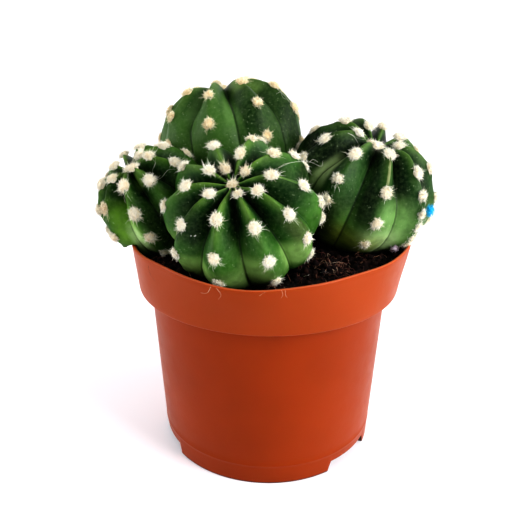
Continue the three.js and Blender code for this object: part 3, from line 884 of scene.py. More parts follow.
def long_hairs(kind, stretch, random):
    """Fine curly hairs, most of which hang from a tuft's lower side."""
    count = kind["count"]
    turn = np.radians(random.normal(*kind["turn"], count))
    out = np.stack([np.cos(turn), np.sin(turn), random.uniform(*kind["rise"], count)], -1)
    start = out * stretch * kind["root"]
    length = random.gamma(*kind["length"], (count, 1)).clip(*kind["limits"])
    end = out * stretch + unit(out + kind["stray"] * random.normal(size=(count, 3))) * length
    end[:, 2] = end[:, 2].clip(*kind["levels"])
    middle = (start + end) / 2 + kind["sway"] * random.normal(size=(count, 3))
    middle[:, 2] = np.maximum(middle[:, 2], kind["lowest"])
    return bezier(start, middle, end, HAIR_POINTS)


def small_spines(kind, stretch, random):
    """Stiff points that stand a little out of the wool."""
    count = kind["count"]
    turn = random.uniform(0, 2 * math.pi, count)
    out = unit(np.stack([np.cos(turn), np.sin(turn), random.uniform(*kind["rise"], count)], -1))
    end = out * stretch * kind["tip"] + out * random.uniform(*kind["length"], (count, 1))
    return bezier(out * stretch * kind["root"], out * stretch * kind["middle"], end, WOOL_POINTS)


FIBRE_MAKERS = {"matted": matted_fibres, "bristles": bristles, "hairs": long_hairs, "spines": small_spines}


def hairs_of(lines, width, tone, random):
    """A mesh of tapered hairs along lines, with each point's tone."""
    count, steps, _ = lines.shape
    taper = np.interp(np.linspace(0, 1, steps), FIBRE["places"], FIBRE["widths"]) * width
    radii = taper * random.uniform(*FIBRE["spread"], (count, 1))
    points, faces, per_fibre = fibre_mesh(lines, radii, random)
    tones = np.clip(tone + random.normal(0, FIBRE["tone_spread"], count), 0, 1)
    return points, faces, np.repeat(tones, per_fibre)


def tuft_parts(name, areole, random):
    """The cushion and every kind of fibre of one tuft, in the tuft's own frame."""
    shape = random.uniform(*TUFT["shape_spread"], 3) * (APEX_SHAPES[name] if areole["angle"] == 0 else 1.0)
    stretch = np.array([TUFT["half_width"], TUFT["half_length"], TUFT["height"]]) * areole["size"] * shape
    stretch[:2] *= WOOL_SPREAD[name]
    tone = random.uniform(*TUFT["tone"]) + TANNED.get((name, areole["rib"], areole["index"]), 0.0)
    core, faces = felt_core(stretch, random)
    yield core, faces, np.full(len(core), tone + FELT["shade"])
    for key, kind in WOOL.items():
        lines = FIBRE_MAKERS[key](kind, stretch, random)
        yield hairs_of(lines, kind["width"], tone + kind["shade"], random)


def stem_wool(name):
    """All of a stem's tufts as one mesh, with a tone for each fibre: 0 is white and 1 is brown."""
    random = np.random.default_rng(STEMS[name]["seed"] * 1000)
    points, faces, tones = [], [], []
    total = 0
    for areole in areoles(name):
        for local, part_faces, tone in tuft_parts(name, areole, random):
            points.append(local @ areole["axes"] + areole["foot"])
            faces += [[index + total for index in face] for face in part_faces]
            tones.append(tone)
            total += len(local)
    return np.concatenate(points), faces, {"tone": np.concatenate(tones)}


# Loose hairs and the bits caught on the plant

def smooth_line(points):
    """A curve through points, with its ends kept."""
    points = np.array(points)
    padded = np.concatenate([2 * points[:1] - points[1:2], points, 2 * points[-1:] - points[-2:-1]])
    place = np.linspace(0, len(points) - 1, LOOSE["points"])
    index = np.minimum(place.astype(int), len(points) - 2)
    share = (place - index)[:, None]
    before, start, end, after = (padded[index + offset] for offset in range(4))
    return 0.5 * (2 * start + (end - before) * share + (2 * before - 5 * start + 4 * end - after) * share ** 2
                  + (3 * start - before - 3 * end + after) * share ** 3)


def loose_hairs(owner, material):
    """The loose hairs that lie on one piece."""
    chosen = [(tone, points) for name, tone, points in LOOSE_HAIRS if name == owner]
    random = np.random.default_rng(len(chosen))
    lines = np.array([smooth_line(points) for _, points in chosen])
    tones = np.array([tone for tone, _ in chosen])
    width = LOOSE["radius"] * random.uniform(*LOOSE["spread"], (len(chosen), 1))
    radii = np.linspace(1, LOOSE["tip"], LOOSE["points"]) * width
    points, faces, per_fibre = fibre_mesh(lines, radii, random)
    return add_piece(f"{owner}_loose_hairs", points, faces, material, {"tone": np.repeat(tones, per_fibre)})


def tangle(name, spec, material):
    """A small knot of curly fibres round a lumpy middle."""
    random = np.random.default_rng(spec["seed"])
    sphere, faces = icosphere(3)
    size, count = np.array(spec["size"]), spec["fibres"]
    lumps = 1 + TANGLE["lumps"] * waves(sphere, TANGLE["lump_length"], spec["seed"])
    core = sphere * lumps[:, None] * size * TANGLE["core"]
    out = unit(random.normal(size=(count, 3)))
    aside = unit(np.cross(out, random.normal(size=(count, 3))))
    end = (out + TANGLE["aside"] * aside) * size * random.uniform(*TANGLE["tip"], (count, 1))
    middle = (out * TANGLE["middle"] - TANGLE["swing"] * aside) * size
    lines = bezier(out * size * TANGLE["root"], middle, end, TANGLE["points"])
    radii = np.linspace(1, TANGLE["taper"], TANGLE["points"]) * random.uniform(*TANGLE["radius"], (count, 1))
    hairs, hair_faces, _ = fibre_mesh(lines, radii, random)
    faces = faces.tolist() + [[index + len(core) for index in face] for face in hair_faces]
    points = np.concatenate([core, hairs]) + np.array(spec["place"])
    return add_piece(name, points, faces, material)


def make_flakes(material):
    """Specks of white dust on the front globe."""
    sphere, faces = icosphere(1)
    random = np.random.default_rng(len(FLAKES))
    points = [place + sphere * random.uniform(*FLAKE_SIZES, 3) for place in FLAKES]
    all_faces = [(faces + len(sphere) * index).tolist() for index in range(len(FLAKES))]
    return add_piece("front_flakes", np.concatenate(points), sum(all_faces, []), material)


# Pot

def rim_shift(azimuth):
    """How far the rim reaches out past its round form."""
    return sum(reach * np.exp(-((azimuth - place) / width) ** 2) for place, reach, width in RIM_BULGES)


def bend_rim(points):
    """Moves the upper part of turned points out of round, as the solids' rim is."""
    azimuth = np.degrees(np.arctan2(points[:, 0], -points[:, 1]))
    ramp = smoothstep(points[:, 2], POT["collar_bottom"], POT["height"])
    reach = rim_shift(azimuth) * ramp
    radius = np.maximum(np.hypot(points[:, 0], points[:, 1]), TINY)
    outer = radius > POT["base_radius"]
    scale = np.where(outer, 1 + reach / radius, 1.0)
    moved = points * np.stack([scale, scale, np.ones(len(scale))], -1)
    moved[:, 2] += np.where(outer, RIM_DIP * reach, 0.0)
    return moved


def notch_centres():
    """Azimuths of the middles of the foot's notches."""
    return [NOTCH["first"] + index * 360.0 / NOTCH["count"] for index in range(NOTCH["count"])]


def pot_columns():
    """Azimuths of the pot's columns, with extra ones where the notches' sides are."""
    even = np.arange(POT["columns"]) * 360.0 / POT["columns"] - 180
    extra = []
    for centre in notch_centres():
        for half in (NOTCH["half_width"], NOTCH["top_half_width"]):
            for offset in (-NOTCH["edge"], 0.0, NOTCH["edge"]):
                extra += [centre + half + offset, centre - half + offset]
    extra = np.mod(np.array(extra) + 180, 360) - 180
    return np.unique(np.round(np.concatenate([even, extra]), 3))


def notch_lift(azimuth):
    """Height of the foot's edge above the table, which is not 0 over a notch."""
    lift = np.zeros(len(azimuth))
    for centre in notch_centres():
        away = np.abs(np.mod(azimuth - centre + 180, 360) - 180)
        inside = 1 - smoothstep(away, NOTCH["top_half_width"], NOTCH["half_width"])
        lift = np.maximum(lift, NOTCH["height"] * inside)
    return lift


def arc_corner(centre, radius, start, end, steps=4):
    """Points of a rounded corner in a profile; angles are in degrees from straight outwards."""
    angles = np.radians(np.linspace(start, end, steps))
    return [(centre[0] + radius * math.cos(angle), centre[1] + radius * math.sin(angle)) for angle in angles]


def body_profile():
    """Radius and height from inside the foot, round its edge and up the outside to the collar."""
    bottom, base = POT["collar_bottom"], POT["base_radius"]
    foot = base - POT["foot_width"]
    slope = (POT["body_top_radius"] - base) / bottom
    inner, outer = ROUNDING["foot_inside"], ROUNDING["foot"]
    bend, bend_level = POT["foot_bend"]
    profile = [(foot - POT["foot_draft"], POT["floor_underside"]), (foot - bend, bend_level)]
    profile += arc_corner((foot + inner, inner), inner, 180, 270, 3)
    profile += arc_corner((base - outer, outer), outer, -90, 0)
    seam, (ridge, edge) = POT["seam_height"], POT["seam_edges"]
    levels = [(level, 0) for level in WALL_STEPS["foot"]]
    levels += [(seam - edge, 0), (seam - ridge, 1), (seam + ridge, 1), (seam + edge, 0)]
    body = np.linspace(WALL_STEPS["body_from"], bottom - WALL_STEPS["under_step"], WALL_STEPS["body"])
    levels += [(level, 0) for level in body]
    return profile + [(base + slope * level + proud * POT["seam_proud"], level) for level, proud in levels]


def collar_profile():
    """Radius and height up the outside of the collar and over the rim."""
    height, bottom, rim, collar = POT["height"], POT["collar_bottom"], POT["rim_radius"], POT["collar_radius"]
    step, corner = ROUNDING["step"], ROUNDING["collar"]
    profile = arc_corner((POT["body_top_radius"] + step, bottom - step), step, 180, 90)
    profile += arc_corner((collar - corner, bottom + corner), corner, -90, 0)
    low, high = bottom + WALL_STEPS["over_step"], height - WALL_STEPS["under_rim"]
    for level in np.linspace(low, high, WALL_STEPS["collar"]):
        share = (level - bottom) / (height - bottom)
        profile.append((collar + (rim - collar) * share, level))
    outer, inner = ROUNDING["rim"], ROUNDING["rim_inside"]
    profile += arc_corner((rim - outer, height - outer), outer, 5, 90, 5)
    return profile + arc_corner((rim - POT["wall"] + inner, height - inner), inner, 90, 180, 4)


def inside_profile():
    """Radius and height from under the rim down the inside to the floor."""
    wall, height, bottom = POT["wall"], POT["height"], POT["collar_bottom"]
    collar, base = POT["collar_radius"], POT["base_radius"]
    profile = []
    low, high = bottom + wall + WALL_STEPS["over_ledge"], height - WALL_STEPS["under_rim"]
    for level in np.linspace(high, low, WALL_STEPS["inside"]):
        share = (level - bottom) / (height - bottom)
        profile.append((collar - wall + (POT["rim_radius"] - collar) * share, level))
    flare, flare_height = POT["floor_flare"]
    profile += [(collar - wall, bottom + wall), (POT["body_top_radius"] - wall, bottom)]
    return profile + [(base - wall + flare, POT["floor_top"] + flare_height), (base - wall, POT["floor_top"])]


def pot_rings(profile, azimuths):
    """Points of the pot's wall, ring by ring, with its foot raised over the notches."""
    lift = notch_lift(azimuths)
    low_zone = POT["seam_height"] - POT["seam_clear"]
    turn = np.radians(azimuths)
    rings = []
    for index, (radius, level) in enumerate(profile):
        height = np.full(len(azimuths), level)
        if level < low_zone and index < len(profile) - 2:
            top = POT["floor_underside"] if index < 2 else low_zone
            height = lift + (top - lift) * level / top
        rings.append(np.stack([radius * np.sin(turn), -radius * np.cos(turn), height], -1))
    return bend_rim(np.concatenate(rings))


def pot_light_and_shade_marks(profile, columns, count):
    """Where the pot's points take painted light on the collar and lip and painted shadow at the foot's edge.
    """
    reach, level = profile.T
    marks = {
        "lip": (level > POT["height"] - POT["lip_highlight_width"]) & (reach > POT["rim_radius"] - POT["wall"] / 2),
        "collar": level > POT["collar_bottom"],
        "foot_edge_shadow": level < POT["foot_edge_shadow"],
    }
    rest = np.zeros(count - columns * len(profile))
    return {key: np.concatenate([np.repeat(mark * 1.0, columns), rest]) for key, mark in marks.items()}


def make_pot(material):
    profile, azimuths = np.array(body_profile() + collar_profile() + inside_profile()), pot_columns()
    columns = len(azimuths)
    bm = bmesh.new()
    vertices = [bm.verts.new(point) for point in pot_rings(profile, azimuths)]
    for face in grid_faces(len(profile), columns):
        bm.faces.new([vertices[index] for index in face])
    pierce_floor(bm, [vertices[:columns], vertices[-columns:]])
    bmesh.ops.recalc_face_normals(bm, faces=bm.faces)
    bm.verts.index_update()
    points = np.array([vertex.co for vertex in bm.verts])
    faces = [[vertex.index for vertex in face.verts] for face in bm.faces]
    bm.free()
    return add_piece("pot_shell", points, faces, material, pot_light_and_shade_marks(profile, columns, len(points)))


def pierce_floor(bm, rows):
    """Closes the floor's underside and top between the pot's wall and its round drain holes."""
    edges = [loop_edges(bm, row) for row in rows]
    for number in range(DRAIN["count"]):
        for side, loop in enumerate(drain_hole(bm, number)):
            edges[side] += loop_edges(bm, loop)
    for side in edges:
        bmesh.ops.triangle_fill(bm, edges=side, use_beauty=True)


def loop_edges(bm, loop):
    """The edges between a closed loop's points."""
    return [bm.edges.get((vertex, loop[(index + 1) % len(loop)])) for index, vertex in enumerate(loop)]


def drain_hole(bm, number):
    """Adds the wall of one drain hole. Returns its loops of points, below and above."""
    place = math.radians(DRAIN["first"] + number * 360 / DRAIN["count"])
    centre = np.array([DRAIN["circle"] * math.sin(place), -DRAIN["circle"] * math.cos(place)])
    loops = []
    for level in (POT["floor_underside"], POT["floor_top"]):
        loop = []
        for corner in range(DRAIN["sides"]):
            turn = 2 * math.pi * corner / DRAIN["sides"]
            x, y = centre + DRAIN["radius"] * np.array([math.cos(turn), math.sin(turn)])
            loop.append(bm.verts.new((x, y, level)))
        loops.append(loop)
    for corner in range(DRAIN["sides"]):
        after = (corner + 1) % DRAIN["sides"]
        bm.faces.new([loops[0][corner], loops[0][after], loops[1][after], loops[1][corner]])
    return loops


# Soil

def soil_limits():
    """The soil's radius at its edge, and how far it stays inside the pot's outside."""
    slope = (POT["rim_radius"] - POT["collar_radius"]) / (POT["height"] - POT["collar_bottom"])
    side = POT["wall"] + SOIL["wall_gap"]
    edge = POT["collar_radius"] + (SOIL["edge_height"] - POT["collar_bottom"]) * slope - side
    return edge, side


def soil_height(points):
    """Height of the soil's bumpy top at points [x, y], before the stems press it down."""
    edge, _ = soil_limits()
    share = np.clip(np.hypot(points[:, 0], points[:, 1]) / edge, 0, 1)
    flat = np.concatenate([points, np.zeros((len(points), 1))], 1)
    rough = sum(high * waves(flat, long, seed) for high, long, seed in SOIL_WAVES)
    calm = 0.5 + 0.5 * smoothstep(1 - share, 0, SOIL["calm_edge"])
    return SOIL["edge_height"] + SOIL["mound"] * (1 - share ** 2) + rough * calm


def stem_floor(points):
    """Height under the lowest stem over points [x, y], or a large number where there is none."""
    floor = np.full(len(points), FAR)
    for spec in STEMS.values():
        floor = np.minimum(floor, globe_underside(spec, points))
        foot = globe_bottom(spec)
        away = np.hypot(points[:, 0] - foot[0], points[:, 1] - foot[1])
        width = NECK["radius"] + SOIL["neck_gap"]
        taper = (NECK["radius"] - NECK["tip_radius"]) / NECK["depth"]
        pit = foot[2] - np.clip((width - away) / taper, 0, NECK["depth"] + SOIL["pit_extra"])
        floor = np.where(away < width, np.minimum(floor, pit), floor)
    return floor


def underside_points(spec):
    """Points all over a globe's smooth lower part, with the soil's gap added."""
    angles = np.radians(np.linspace(UNDERSIDE["from"], 180, UNDERSIDE["rows"]))
    turns = np.radians(np.linspace(0, 360, UNDERSIDE["columns"]))
    radius = (spec["radius"] + SOIL["stem_gap"]) * np.sin(angles)[:, None]
    half = np.where(angles < math.pi / 2, spec["above"], spec["below"]) + SOIL["stem_gap"]
    height = (half * np.cos(angles))[:, None] + 0 * turns
    surface = np.stack([radius * np.cos(turns), radius * np.sin(turns), height], -1)
    return to_world(spec, surface.reshape(-1, 3))


def globe_underside(spec, points):
    """Height of a globe's smooth underside over points [x, y], from a grid of its lowest heights."""
    surface = underside_points(spec)
    cell, size = UNDERSIDE["cell"], UNDERSIDE["cells"]
    index = np.round(surface[:, :2] / cell).astype(int) + size // 2
    keep = ((index >= 0) & (index < size)).all(1)
    index, surface = index[keep], surface[keep]
    table = np.full((size, size), FAR)
    np.minimum.at(table, (index[:, 0], index[:, 1]), surface[:, 2])
    corner = np.floor(points / cell + size // 2).astype(int)
    low = np.full(len(points), FAR)
    for dx in (0, 1):
        for dy in (0, 1):
            x, y = np.clip(corner[:, 0] + dx, 0, size - 1), np.clip(corner[:, 1] + dy, 0, size - 1)
            low = np.minimum(low, table[x, y])
    return low


def make_soil(material):
    """The soil that fills the pot, with a bumpy top that stays under the stems."""
    edge, side = soil_limits()
    columns, rings = SOIL["columns"], SOIL["rings"]
    turn = np.arange(columns) * 2 * math.pi / columns
    shares = np.linspace(1, 0, rings, endpoint=False)
    spokes = np.stack([np.sin(turn), -np.cos(turn)], -1)
    top = (spokes[None] * (edge * shares)[:, None, None]).reshape(-1, 2)
    height = np.minimum(soil_height(top), stem_floor(top))
    low = [(POT["base_radius"] - side, POT["floor_top"] + SOIL["wall_gap"]),
           (POT["body_top_radius"] - side, POT["collar_bottom"] + SOIL["wall_gap"]),
           (POT["collar_radius"] - side, POT["collar_bottom"] + POT["wall"] + SOIL["wall_gap"]),
           (edge, SOIL["edge_height"] - SOIL["shoulder"])]
    walls = [np.concatenate([spokes * radius, np.full((columns, 1), level)], 1) for radius, level in low]
    surface = np.concatenate([top, height[:, None]], 1)
    middle = np.array([[0.0, 0.0]])
    peak = min(soil_height(middle)[0], stem_floor(middle)[0])
    points = bend_rim(np.concatenate([*walls, surface, [[0, 0, peak], [0, 0, low[0][1]]]]))
    rows = len(walls) + rings
    faces = [face[::-1] for face in grid_faces(rows, columns)]
    last = (rows - 1) * columns
    summit, base = rows * columns, rows * columns + 1
    for column in range(columns):
        after = (column + 1) % columns
        faces.append([last + column, last + after, summit])
        faces.append([after, column, base])
    return add_piece("soil_bed", points, faces, material, {"tone": np.full(len(points), SOIL["tone"])})


def open_soil_places(random, count):
    """Random places on the soil that no stem covers."""
    edge, _ = soil_limits()
    tries = count * LITTER["tries"]
    radius = edge * np.sqrt(random.uniform(0, 1, tries)) * LITTER["reach"]
    turn = random.uniform(0, 2 * math.pi, tries)
    places = np.stack([radius * np.sin(turn), -radius * np.cos(turn)], -1)
    open_air = stem_floor(places) > soil_height(places) + LITTER["air"]
    return places[open_air][:count]


def make_crumbs(material):
    """Loose lumps of peat over the soil."""
    random = np.random.default_rng(CRUMBS["seed"])
    sphere, pattern = icosphere(1)
    places = open_soil_places(random, CRUMBS["count"])
    count = len(places)
    size = random.gamma(*CRUMBS["size"], count).clip(*CRUMBS["size_limits"])
    stretch = random.uniform(*CRUMBS["stretch"], (count, 1, 3))
    limit = CRUMBS["lump_limit"]
    lumps = 1 + CRUMBS["lumps"] * random.normal(size=(count, len(sphere), 1)).clip(-limit, limit)
    shapes = sphere[None] * stretch * lumps * size[:, None, None]
    spin, _ = np.linalg.qr(random.normal(size=(count, 3, 3)))
    shapes = shapes @ spin
    centre = np.concatenate([places, (soil_height(places) + CRUMBS["raised"] * size)[:, None]], 1)
    points = bend_rim((shapes + centre[:, None]).reshape(-1, 3))
    faces = (pattern[None] + (np.arange(count) * len(sphere))[:, None, None]).reshape(-1, 3).tolist()
    tone = np.repeat(random.beta(*CRUMBS["tone"], count), len(sphere))
    return add_piece("soil_crumbs", points, faces, material, {"tone": tone})


def coir_lines(random):
    """Curly lines in loose clusters, which arch over the soil and stay inside the pot."""
    places = open_soil_places(random, COIR["count"])
    flat = np.concatenate([places, np.zeros((len(places), 1))], 1)
    cluster = waves(flat, COIR["cluster_length"], COIR["cluster_seed"])
    cluster = cluster + random.normal(0, COIR["cluster_spread"], len(places))
    places = places[cluster > COIR["cluster_level"]]
    count, steps = len(places), COIR["points"]
    heading = random.uniform(0, 2 * math.pi, count)
    bend = random.normal(0, COIR["bend"], count)
    length = random.gamma(*COIR["length"], count).clip(*COIR["length_limits"])
    line = np.zeros((count, steps, 3))
    line[:, 0, :2] = places
    for step in range(1, steps):
        heading = heading + bend + random.normal(0, COIR["wobble"], count)
        stride = (length / (steps - 1))[:, None] * np.stack([np.cos(heading), np.sin(heading)], -1)
        line[:, step, :2] = line[:, step - 1, :2] + stride
    edge, _ = soil_limits()
    away = np.linalg.norm(line[..., :2], axis=-1, keepdims=True)
    line[..., :2] *= np.minimum(1, (edge - COIR["wall_clear"]) / np.maximum(away, TINY))
    ground = soil_height(line[..., :2].reshape(-1, 2)).reshape(count, steps)
    arch = np.sin(np.linspace(0, math.pi, steps))[None] * random.gamma(*COIR["arch"], (count, 1))
    line[..., 2] = ground + COIR["raised"] + arch
    return line


def make_soil_fibres(material):
    """Curly coir fibres that lie over the soil."""
    random = np.random.default_rng(COIR["seed"])
    lines = coir_lines(random)
    radii = np.linspace(1, COIR["tip"], COIR["points"]) * random.uniform(*COIR["radius"], (len(lines), 1))
    points, faces, per_fibre = fibre_mesh(lines, radii, random)
    tone = np.repeat(random.beta(*COIR["tone"], len(lines)), per_fibre)
    return add_piece("soil_fibres", bend_rim(points), faces, material, {"tone": tone})


# Materials

class Nodes:
    """Short ways to add shader nodes to a material or the world."""

    def __init__(self, owner, shader="Principled BSDF", space="Object"):
        owner.use_nodes = True
        self.owner = owner
        self.tree = owner.node_tree
        self.shader = self.tree.nodes[shader]
        self.place = self.tree.nodes.new("ShaderNodeTexCoord").outputs[space]

    def link(self, source, target):
        """Links a socket to the target, or sets the target to a plain value."""
        if isinstance(source, bpy.types.NodeSocket):
            self.tree.links.new(source, target)
        else:
            target.default_value = source

    def fill(self, node, inputs):
        """Links or sets a node's inputs, which are named with _ for each space."""
        for key, value in inputs.items():
            self.link(value, node.inputs[key.replace("_", " ")])

    def add(self, kind, **inputs):
        node = self.tree.nodes.new(f"ShaderNode{kind}")
        self.fill(node, inputs)
        return node

    def attribute(self, name):
        node = self.add("Attribute")
        node.attribute_name = name
        return node.outputs["Fac"]

    def noise(self, scale, detail, roughness=0.5):
        node = self.add("TexNoise", Vector=self.place, Scale=scale, Detail=detail, Roughness=roughness)
        return node.outputs["Fac"]

    def cells(self, scale):
        """Distance from the nearest of many scattered points."""
        return self.add("TexVoronoi", Vector=self.place, Scale=scale).outputs["Distance"]

    def math(self, operation, first, second=0.0):
        node = self.add("Math")
        node.operation = operation
        self.link(first, node.inputs[0])
        self.link(second, node.inputs[1])
        return node.outputs[0]

    def remap(self, value, low, high, to_low=0.0, to_high=1.0):
        """The value eased from one range to another."""
        node = self.add("MapRange", Value=value, From_Min=low, From_Max=high, To_Min=to_low, To_Max=to_high)
        node.interpolation_type = "SMOOTHSTEP"
        return node.outputs["Result"]

    def mix(self, share, first, second):
        node = self.add("Mix")
        node.data_type = "RGBA"
        self.link(share, node.inputs["Factor"])
        self.link(first, node.inputs[6])
        self.link(second, node.inputs[7])
        return node.outputs[2]

    def tint(self, color, target, share, strength):
        """The colour drawn towards the target by a share times a strength."""
        return self.mix(self.math("MULTIPLY", share, strength), color, target)

    def ramp(self, value, stops):
        """Colours at places from 0 to 1, picked by the value."""
        node = self.add("ValToRGB", Fac=value)
        elements = node.color_ramp.elements
        while len(elements) < len(stops):
            elements.new(0.5)
        for element, (place, color) in zip(elements, stops):
            element.position = place
            element.color = color
        return node.outputs["Color"]

    def bump(self, height, distance, strength):
        return self.add("Bump", Strength=strength, Distance=distance, Height=height).outputs["Normal"]

    def finish(self, **inputs):
        """Fills the shader's inputs and returns the material or the world."""
        self.fill(self.shader, inputs)
        return self.owner


def new_material(name):
    return Nodes(bpy.data.materials.new(name))


def mark(nodes, color, name):
    """Tints one marked part of the pot with the light and shade painted on it."""
    target, strength = POT_LIGHT_AND_SHADE[name]
    return nodes.tint(color, target, nodes.attribute(name), strength)


def plastic_material():
    """The pot's plastic: clouded, with rare dark specks, an uneven gloss, and painted light and shade."""
    nodes = new_material("pot_plastic_look")
    color = nodes.mix(nodes.remap(nodes.noise(*PLASTIC["cloud_noise"]), *NOISE_RANGE), *PLASTIC["colors"])
    # Painted light: the collar is made lighter than the body, as lit more from above
    color = mark(nodes, color, "collar")
    specks = nodes.remap(nodes.cells(PLASTIC["speck_cells"]), *PLASTIC["speck_range"])
    rare = nodes.remap(nodes.noise(*PLASTIC["rare_noise"]), *PLASTIC["rare_range"])
    color = nodes.tint(color, PLASTIC["speck_color"], specks, rare)
    # Painted highlight along the outer half of the lip, then painted shadow along the foot's bottom edge
    color = mark(nodes, mark(nodes, color, "lip"), "foot_edge_shadow")
    return nodes.finish(
        Base_Color=color,
        Roughness=nodes.remap(nodes.noise(*PLASTIC["rough_noise"]), *NOISE_RANGE, *PLASTIC["roughness"]),
        Normal=nodes.bump(nodes.noise(*PLASTIC["peel_noise"]), *PLASTIC["peel_bump"]),
        Specular_IOR_Level=0.12,
        Sheen_Weight=0.07,
        Sheen_Roughness=0.35,
        Subsurface_Weight=0.3,
        Subsurface_Radius=(1.0, 0.25, 0.08),
        Subsurface_Scale=0.0015,
    )


def patch(nodes, color, place):
    """Blends a stem's colour towards another around one place on it, mostly as painted light and shade."""
    turn, turn_reach, angle, angle_reach, target = place
    across = nodes.math("ABSOLUTE", nodes.math("SUBTRACT", nodes.attribute("rib"), turn))
    along = nodes.math("ABSOLUTE", nodes.math("SUBTRACT", nodes.attribute("tip_angle"), angle))
    across = nodes.remap(across, turn_reach * PATCH["across"], turn_reach, 1.0, 0.0)
    along = nodes.remap(along, angle_reach * PATCH["along"], angle_reach, 1.0, 0.0)
    return nodes.tint(color, target, nodes.math("MULTIPLY", across, along), PATCH["strength"])


def skin_base(nodes, name, side, angle):
    """A stem's large colours: painted shade in furrows, painted light lower down, light young ridges, and
    patches.
    """
    deep, mid, ridge, pale = SKINS[name]
    cloud = nodes.noise(*SKIN["cloud_noise"])
    # Painted shade deep in the furrows up top, and a paler colour painted lower down as light from below
    upper = nodes.mix(nodes.remap(side, *SKIN["furrow_sides"]), mid, deep)
    lower = nodes.mix(nodes.remap(cloud, *NOISE_RANGE, *SKIN["lower_light_share"]), mid, pale)
    color = nodes.mix(nodes.remap(angle, *FURROW_SHADE_ANGLES[name]), upper, lower)
    young = nodes.remap(angle, *SKIN["young_angles"])
    color = nodes.tint(color, ridge, nodes.remap(side, *SKIN["young_sides"]), young)
    # Patches of painted light and shade, and a few of the skin's own tints
    for place in LIGHT_AND_SHADE_PATCHES[name]:
        color = patch(nodes, color, place)
    return color


def skin_material(name):
    """A stem's skin: its large colours, then mottling, haze, a painted shade line in each furrow and
    scattered pale dots.
    """
    nodes = new_material(f"{name}_skin")
    side, angle = nodes.attribute("side"), nodes.attribute("tip_angle")
    fine = nodes.noise(*SKIN["fine_noise"])
    mottle = nodes.remap(nodes.noise(*SKIN["mottle_noise"]), *SKIN["mottle_range"])
    color = nodes.mix(mottle, skin_base(nodes, name, side, angle), SKINS[name][0])
    color = nodes.mix(nodes.remap(fine, *SKIN["haze_range"]), color, SKIN["haze_color"])
    # Painted shade along each furrow's bottom
    crease = nodes.remap(side, *SKIN["crease_sides"])
    color = nodes.tint(color, SKIN["crease_shade_color"], crease, nodes.remap(angle, *SKIN["crease_angles"]))
    dots = nodes.remap(nodes.cells(SKIN["dot_cells"]), *SKIN["dot_range"])
    rare = nodes.remap(nodes.noise(*SKIN["rare_noise"]), *SKIN["rare_range"])
    dots = nodes.math("MULTIPLY", dots, rare)
    return nodes.finish(
        Base_Color=nodes.tint(color, SKIN["dot_color"], dots, SKIN["dot_strength"]),
        Roughness=nodes.remap(fine, *NOISE_RANGE, *SKIN["roughness"]),
        Normal=nodes.bump(nodes.noise(*SKIN["grain_noise"]), *SKIN["grain_bump"]),
        Specular_IOR_Level=0.12,
    )


def toned_nodes(name, kind, stops):
    """A material coloured by its piece's tone, which noise varies."""
    nodes = new_material(name)
    noise, spread = TONE_NOISES[kind]
    change = nodes.remap(nodes.noise(*noise), *NOISE_RANGE, *spread)
    nodes.finish(Base_Color=nodes.ramp(nodes.math("ADD", nodes.attribute("tone"), change), stops))
    return nodes


def wool_material(name):
    nodes = toned_nodes(f"{name}_wool", "wool", [*zip(WOOL_PLACES, WOOLS[name]), SPINE_STOP])
    return nodes.finish(Roughness=0.85, Sheen_Weight=0.25)


def hair_material():
    return toned_nodes("loose_hair", "hair", HAIR_STOPS).finish(Roughness=0.6)


def fuzz_material(name):
    nodes = new_material(name)
    mottle = nodes.remap(nodes.noise(*FUZZ_MOTTLE["noise"]), *FUZZ_MOTTLE["range"])
    return nodes.finish(Base_Color=nodes.mix(mottle, *FUZZ[name]), Roughness=0.8)


def peat_material():
    nodes = toned_nodes("peat_look", "peat", PEAT_STOPS)
    grain = nodes.bump(nodes.noise(*PEAT_GRAIN["noise"]), *PEAT_GRAIN["bump"])
    return nodes.finish(Roughness=0.9, Specular_IOR_Level=0.2, Normal=grain)


def coir_material():
    return toned_nodes("coir_look", "coir", COIR_STOPS).finish(Roughness=0.7)


# Stage: floor, light and camera

def make_floor():
    """A pale floor that reaches far past the picture."""
    mesh = bpy.data.meshes.new("floor")
    reach = STAGE["floor_reach"]
    corners = [(-reach, -reach, 0), (reach, -reach, 0), (reach, reach, 0), (-reach, reach, 0)]
    mesh.from_pydata(corners, [], [(0, 1, 2, 3)])
    nodes = new_material("floor_look")
    mottle = nodes.remap(nodes.noise(*STAGE["floor_noise"]), *NOISE_RANGE)
    mesh.materials.append(nodes.finish(
        Base_Color=nodes.mix(mottle, *STAGE["floor_colors"]),
        Roughness=0.6,
        Emission_Color=STAGE["glow_color"],
        Emission_Strength=STAGE["floor_glow"],
    ))
    floor = bpy.data.objects.new("floor", mesh)
    bpy.context.scene.collection.objects.link(floor)


def aim(azimuth, elevation):
    """The direction towards a place round the object; azimuth 0 is in front of it and 90 to its right."""
    turn, rise = math.radians(azimuth), math.radians(elevation)
    return np.array([math.sin(turn) * math.cos(rise), -math.cos(turn) * math.cos(rise), math.sin(rise)])


def add_lamp(name, kind, azimuth, elevation, distance, strength, color, size):
    """A sun or a rectangular panel that shines at the middle of the object."""
    data = bpy.data.lights.new(name, kind)
    data.energy = strength
    data.color = color
    if kind == "SUN":
        data.angle = math.radians(size)
    else:
        data.shape = "RECTANGLE"
        data.size, data.size_y = size
    light = bpy.data.objects.new(name, data)
    bpy.context.scene.collection.objects.link(light)
    back = aim(azimuth, elevation)
    side = unit(np.cross([0, 0, 1], back))
    rows = np.array([side, np.cross(back, side), back]).T
    place = back * distance + np.array([0, 0, STAGE["aim_height"]])
    light.matrix_world = Matrix.Translation(place.tolist()) @ Matrix(rows.tolist()).to_4x4()


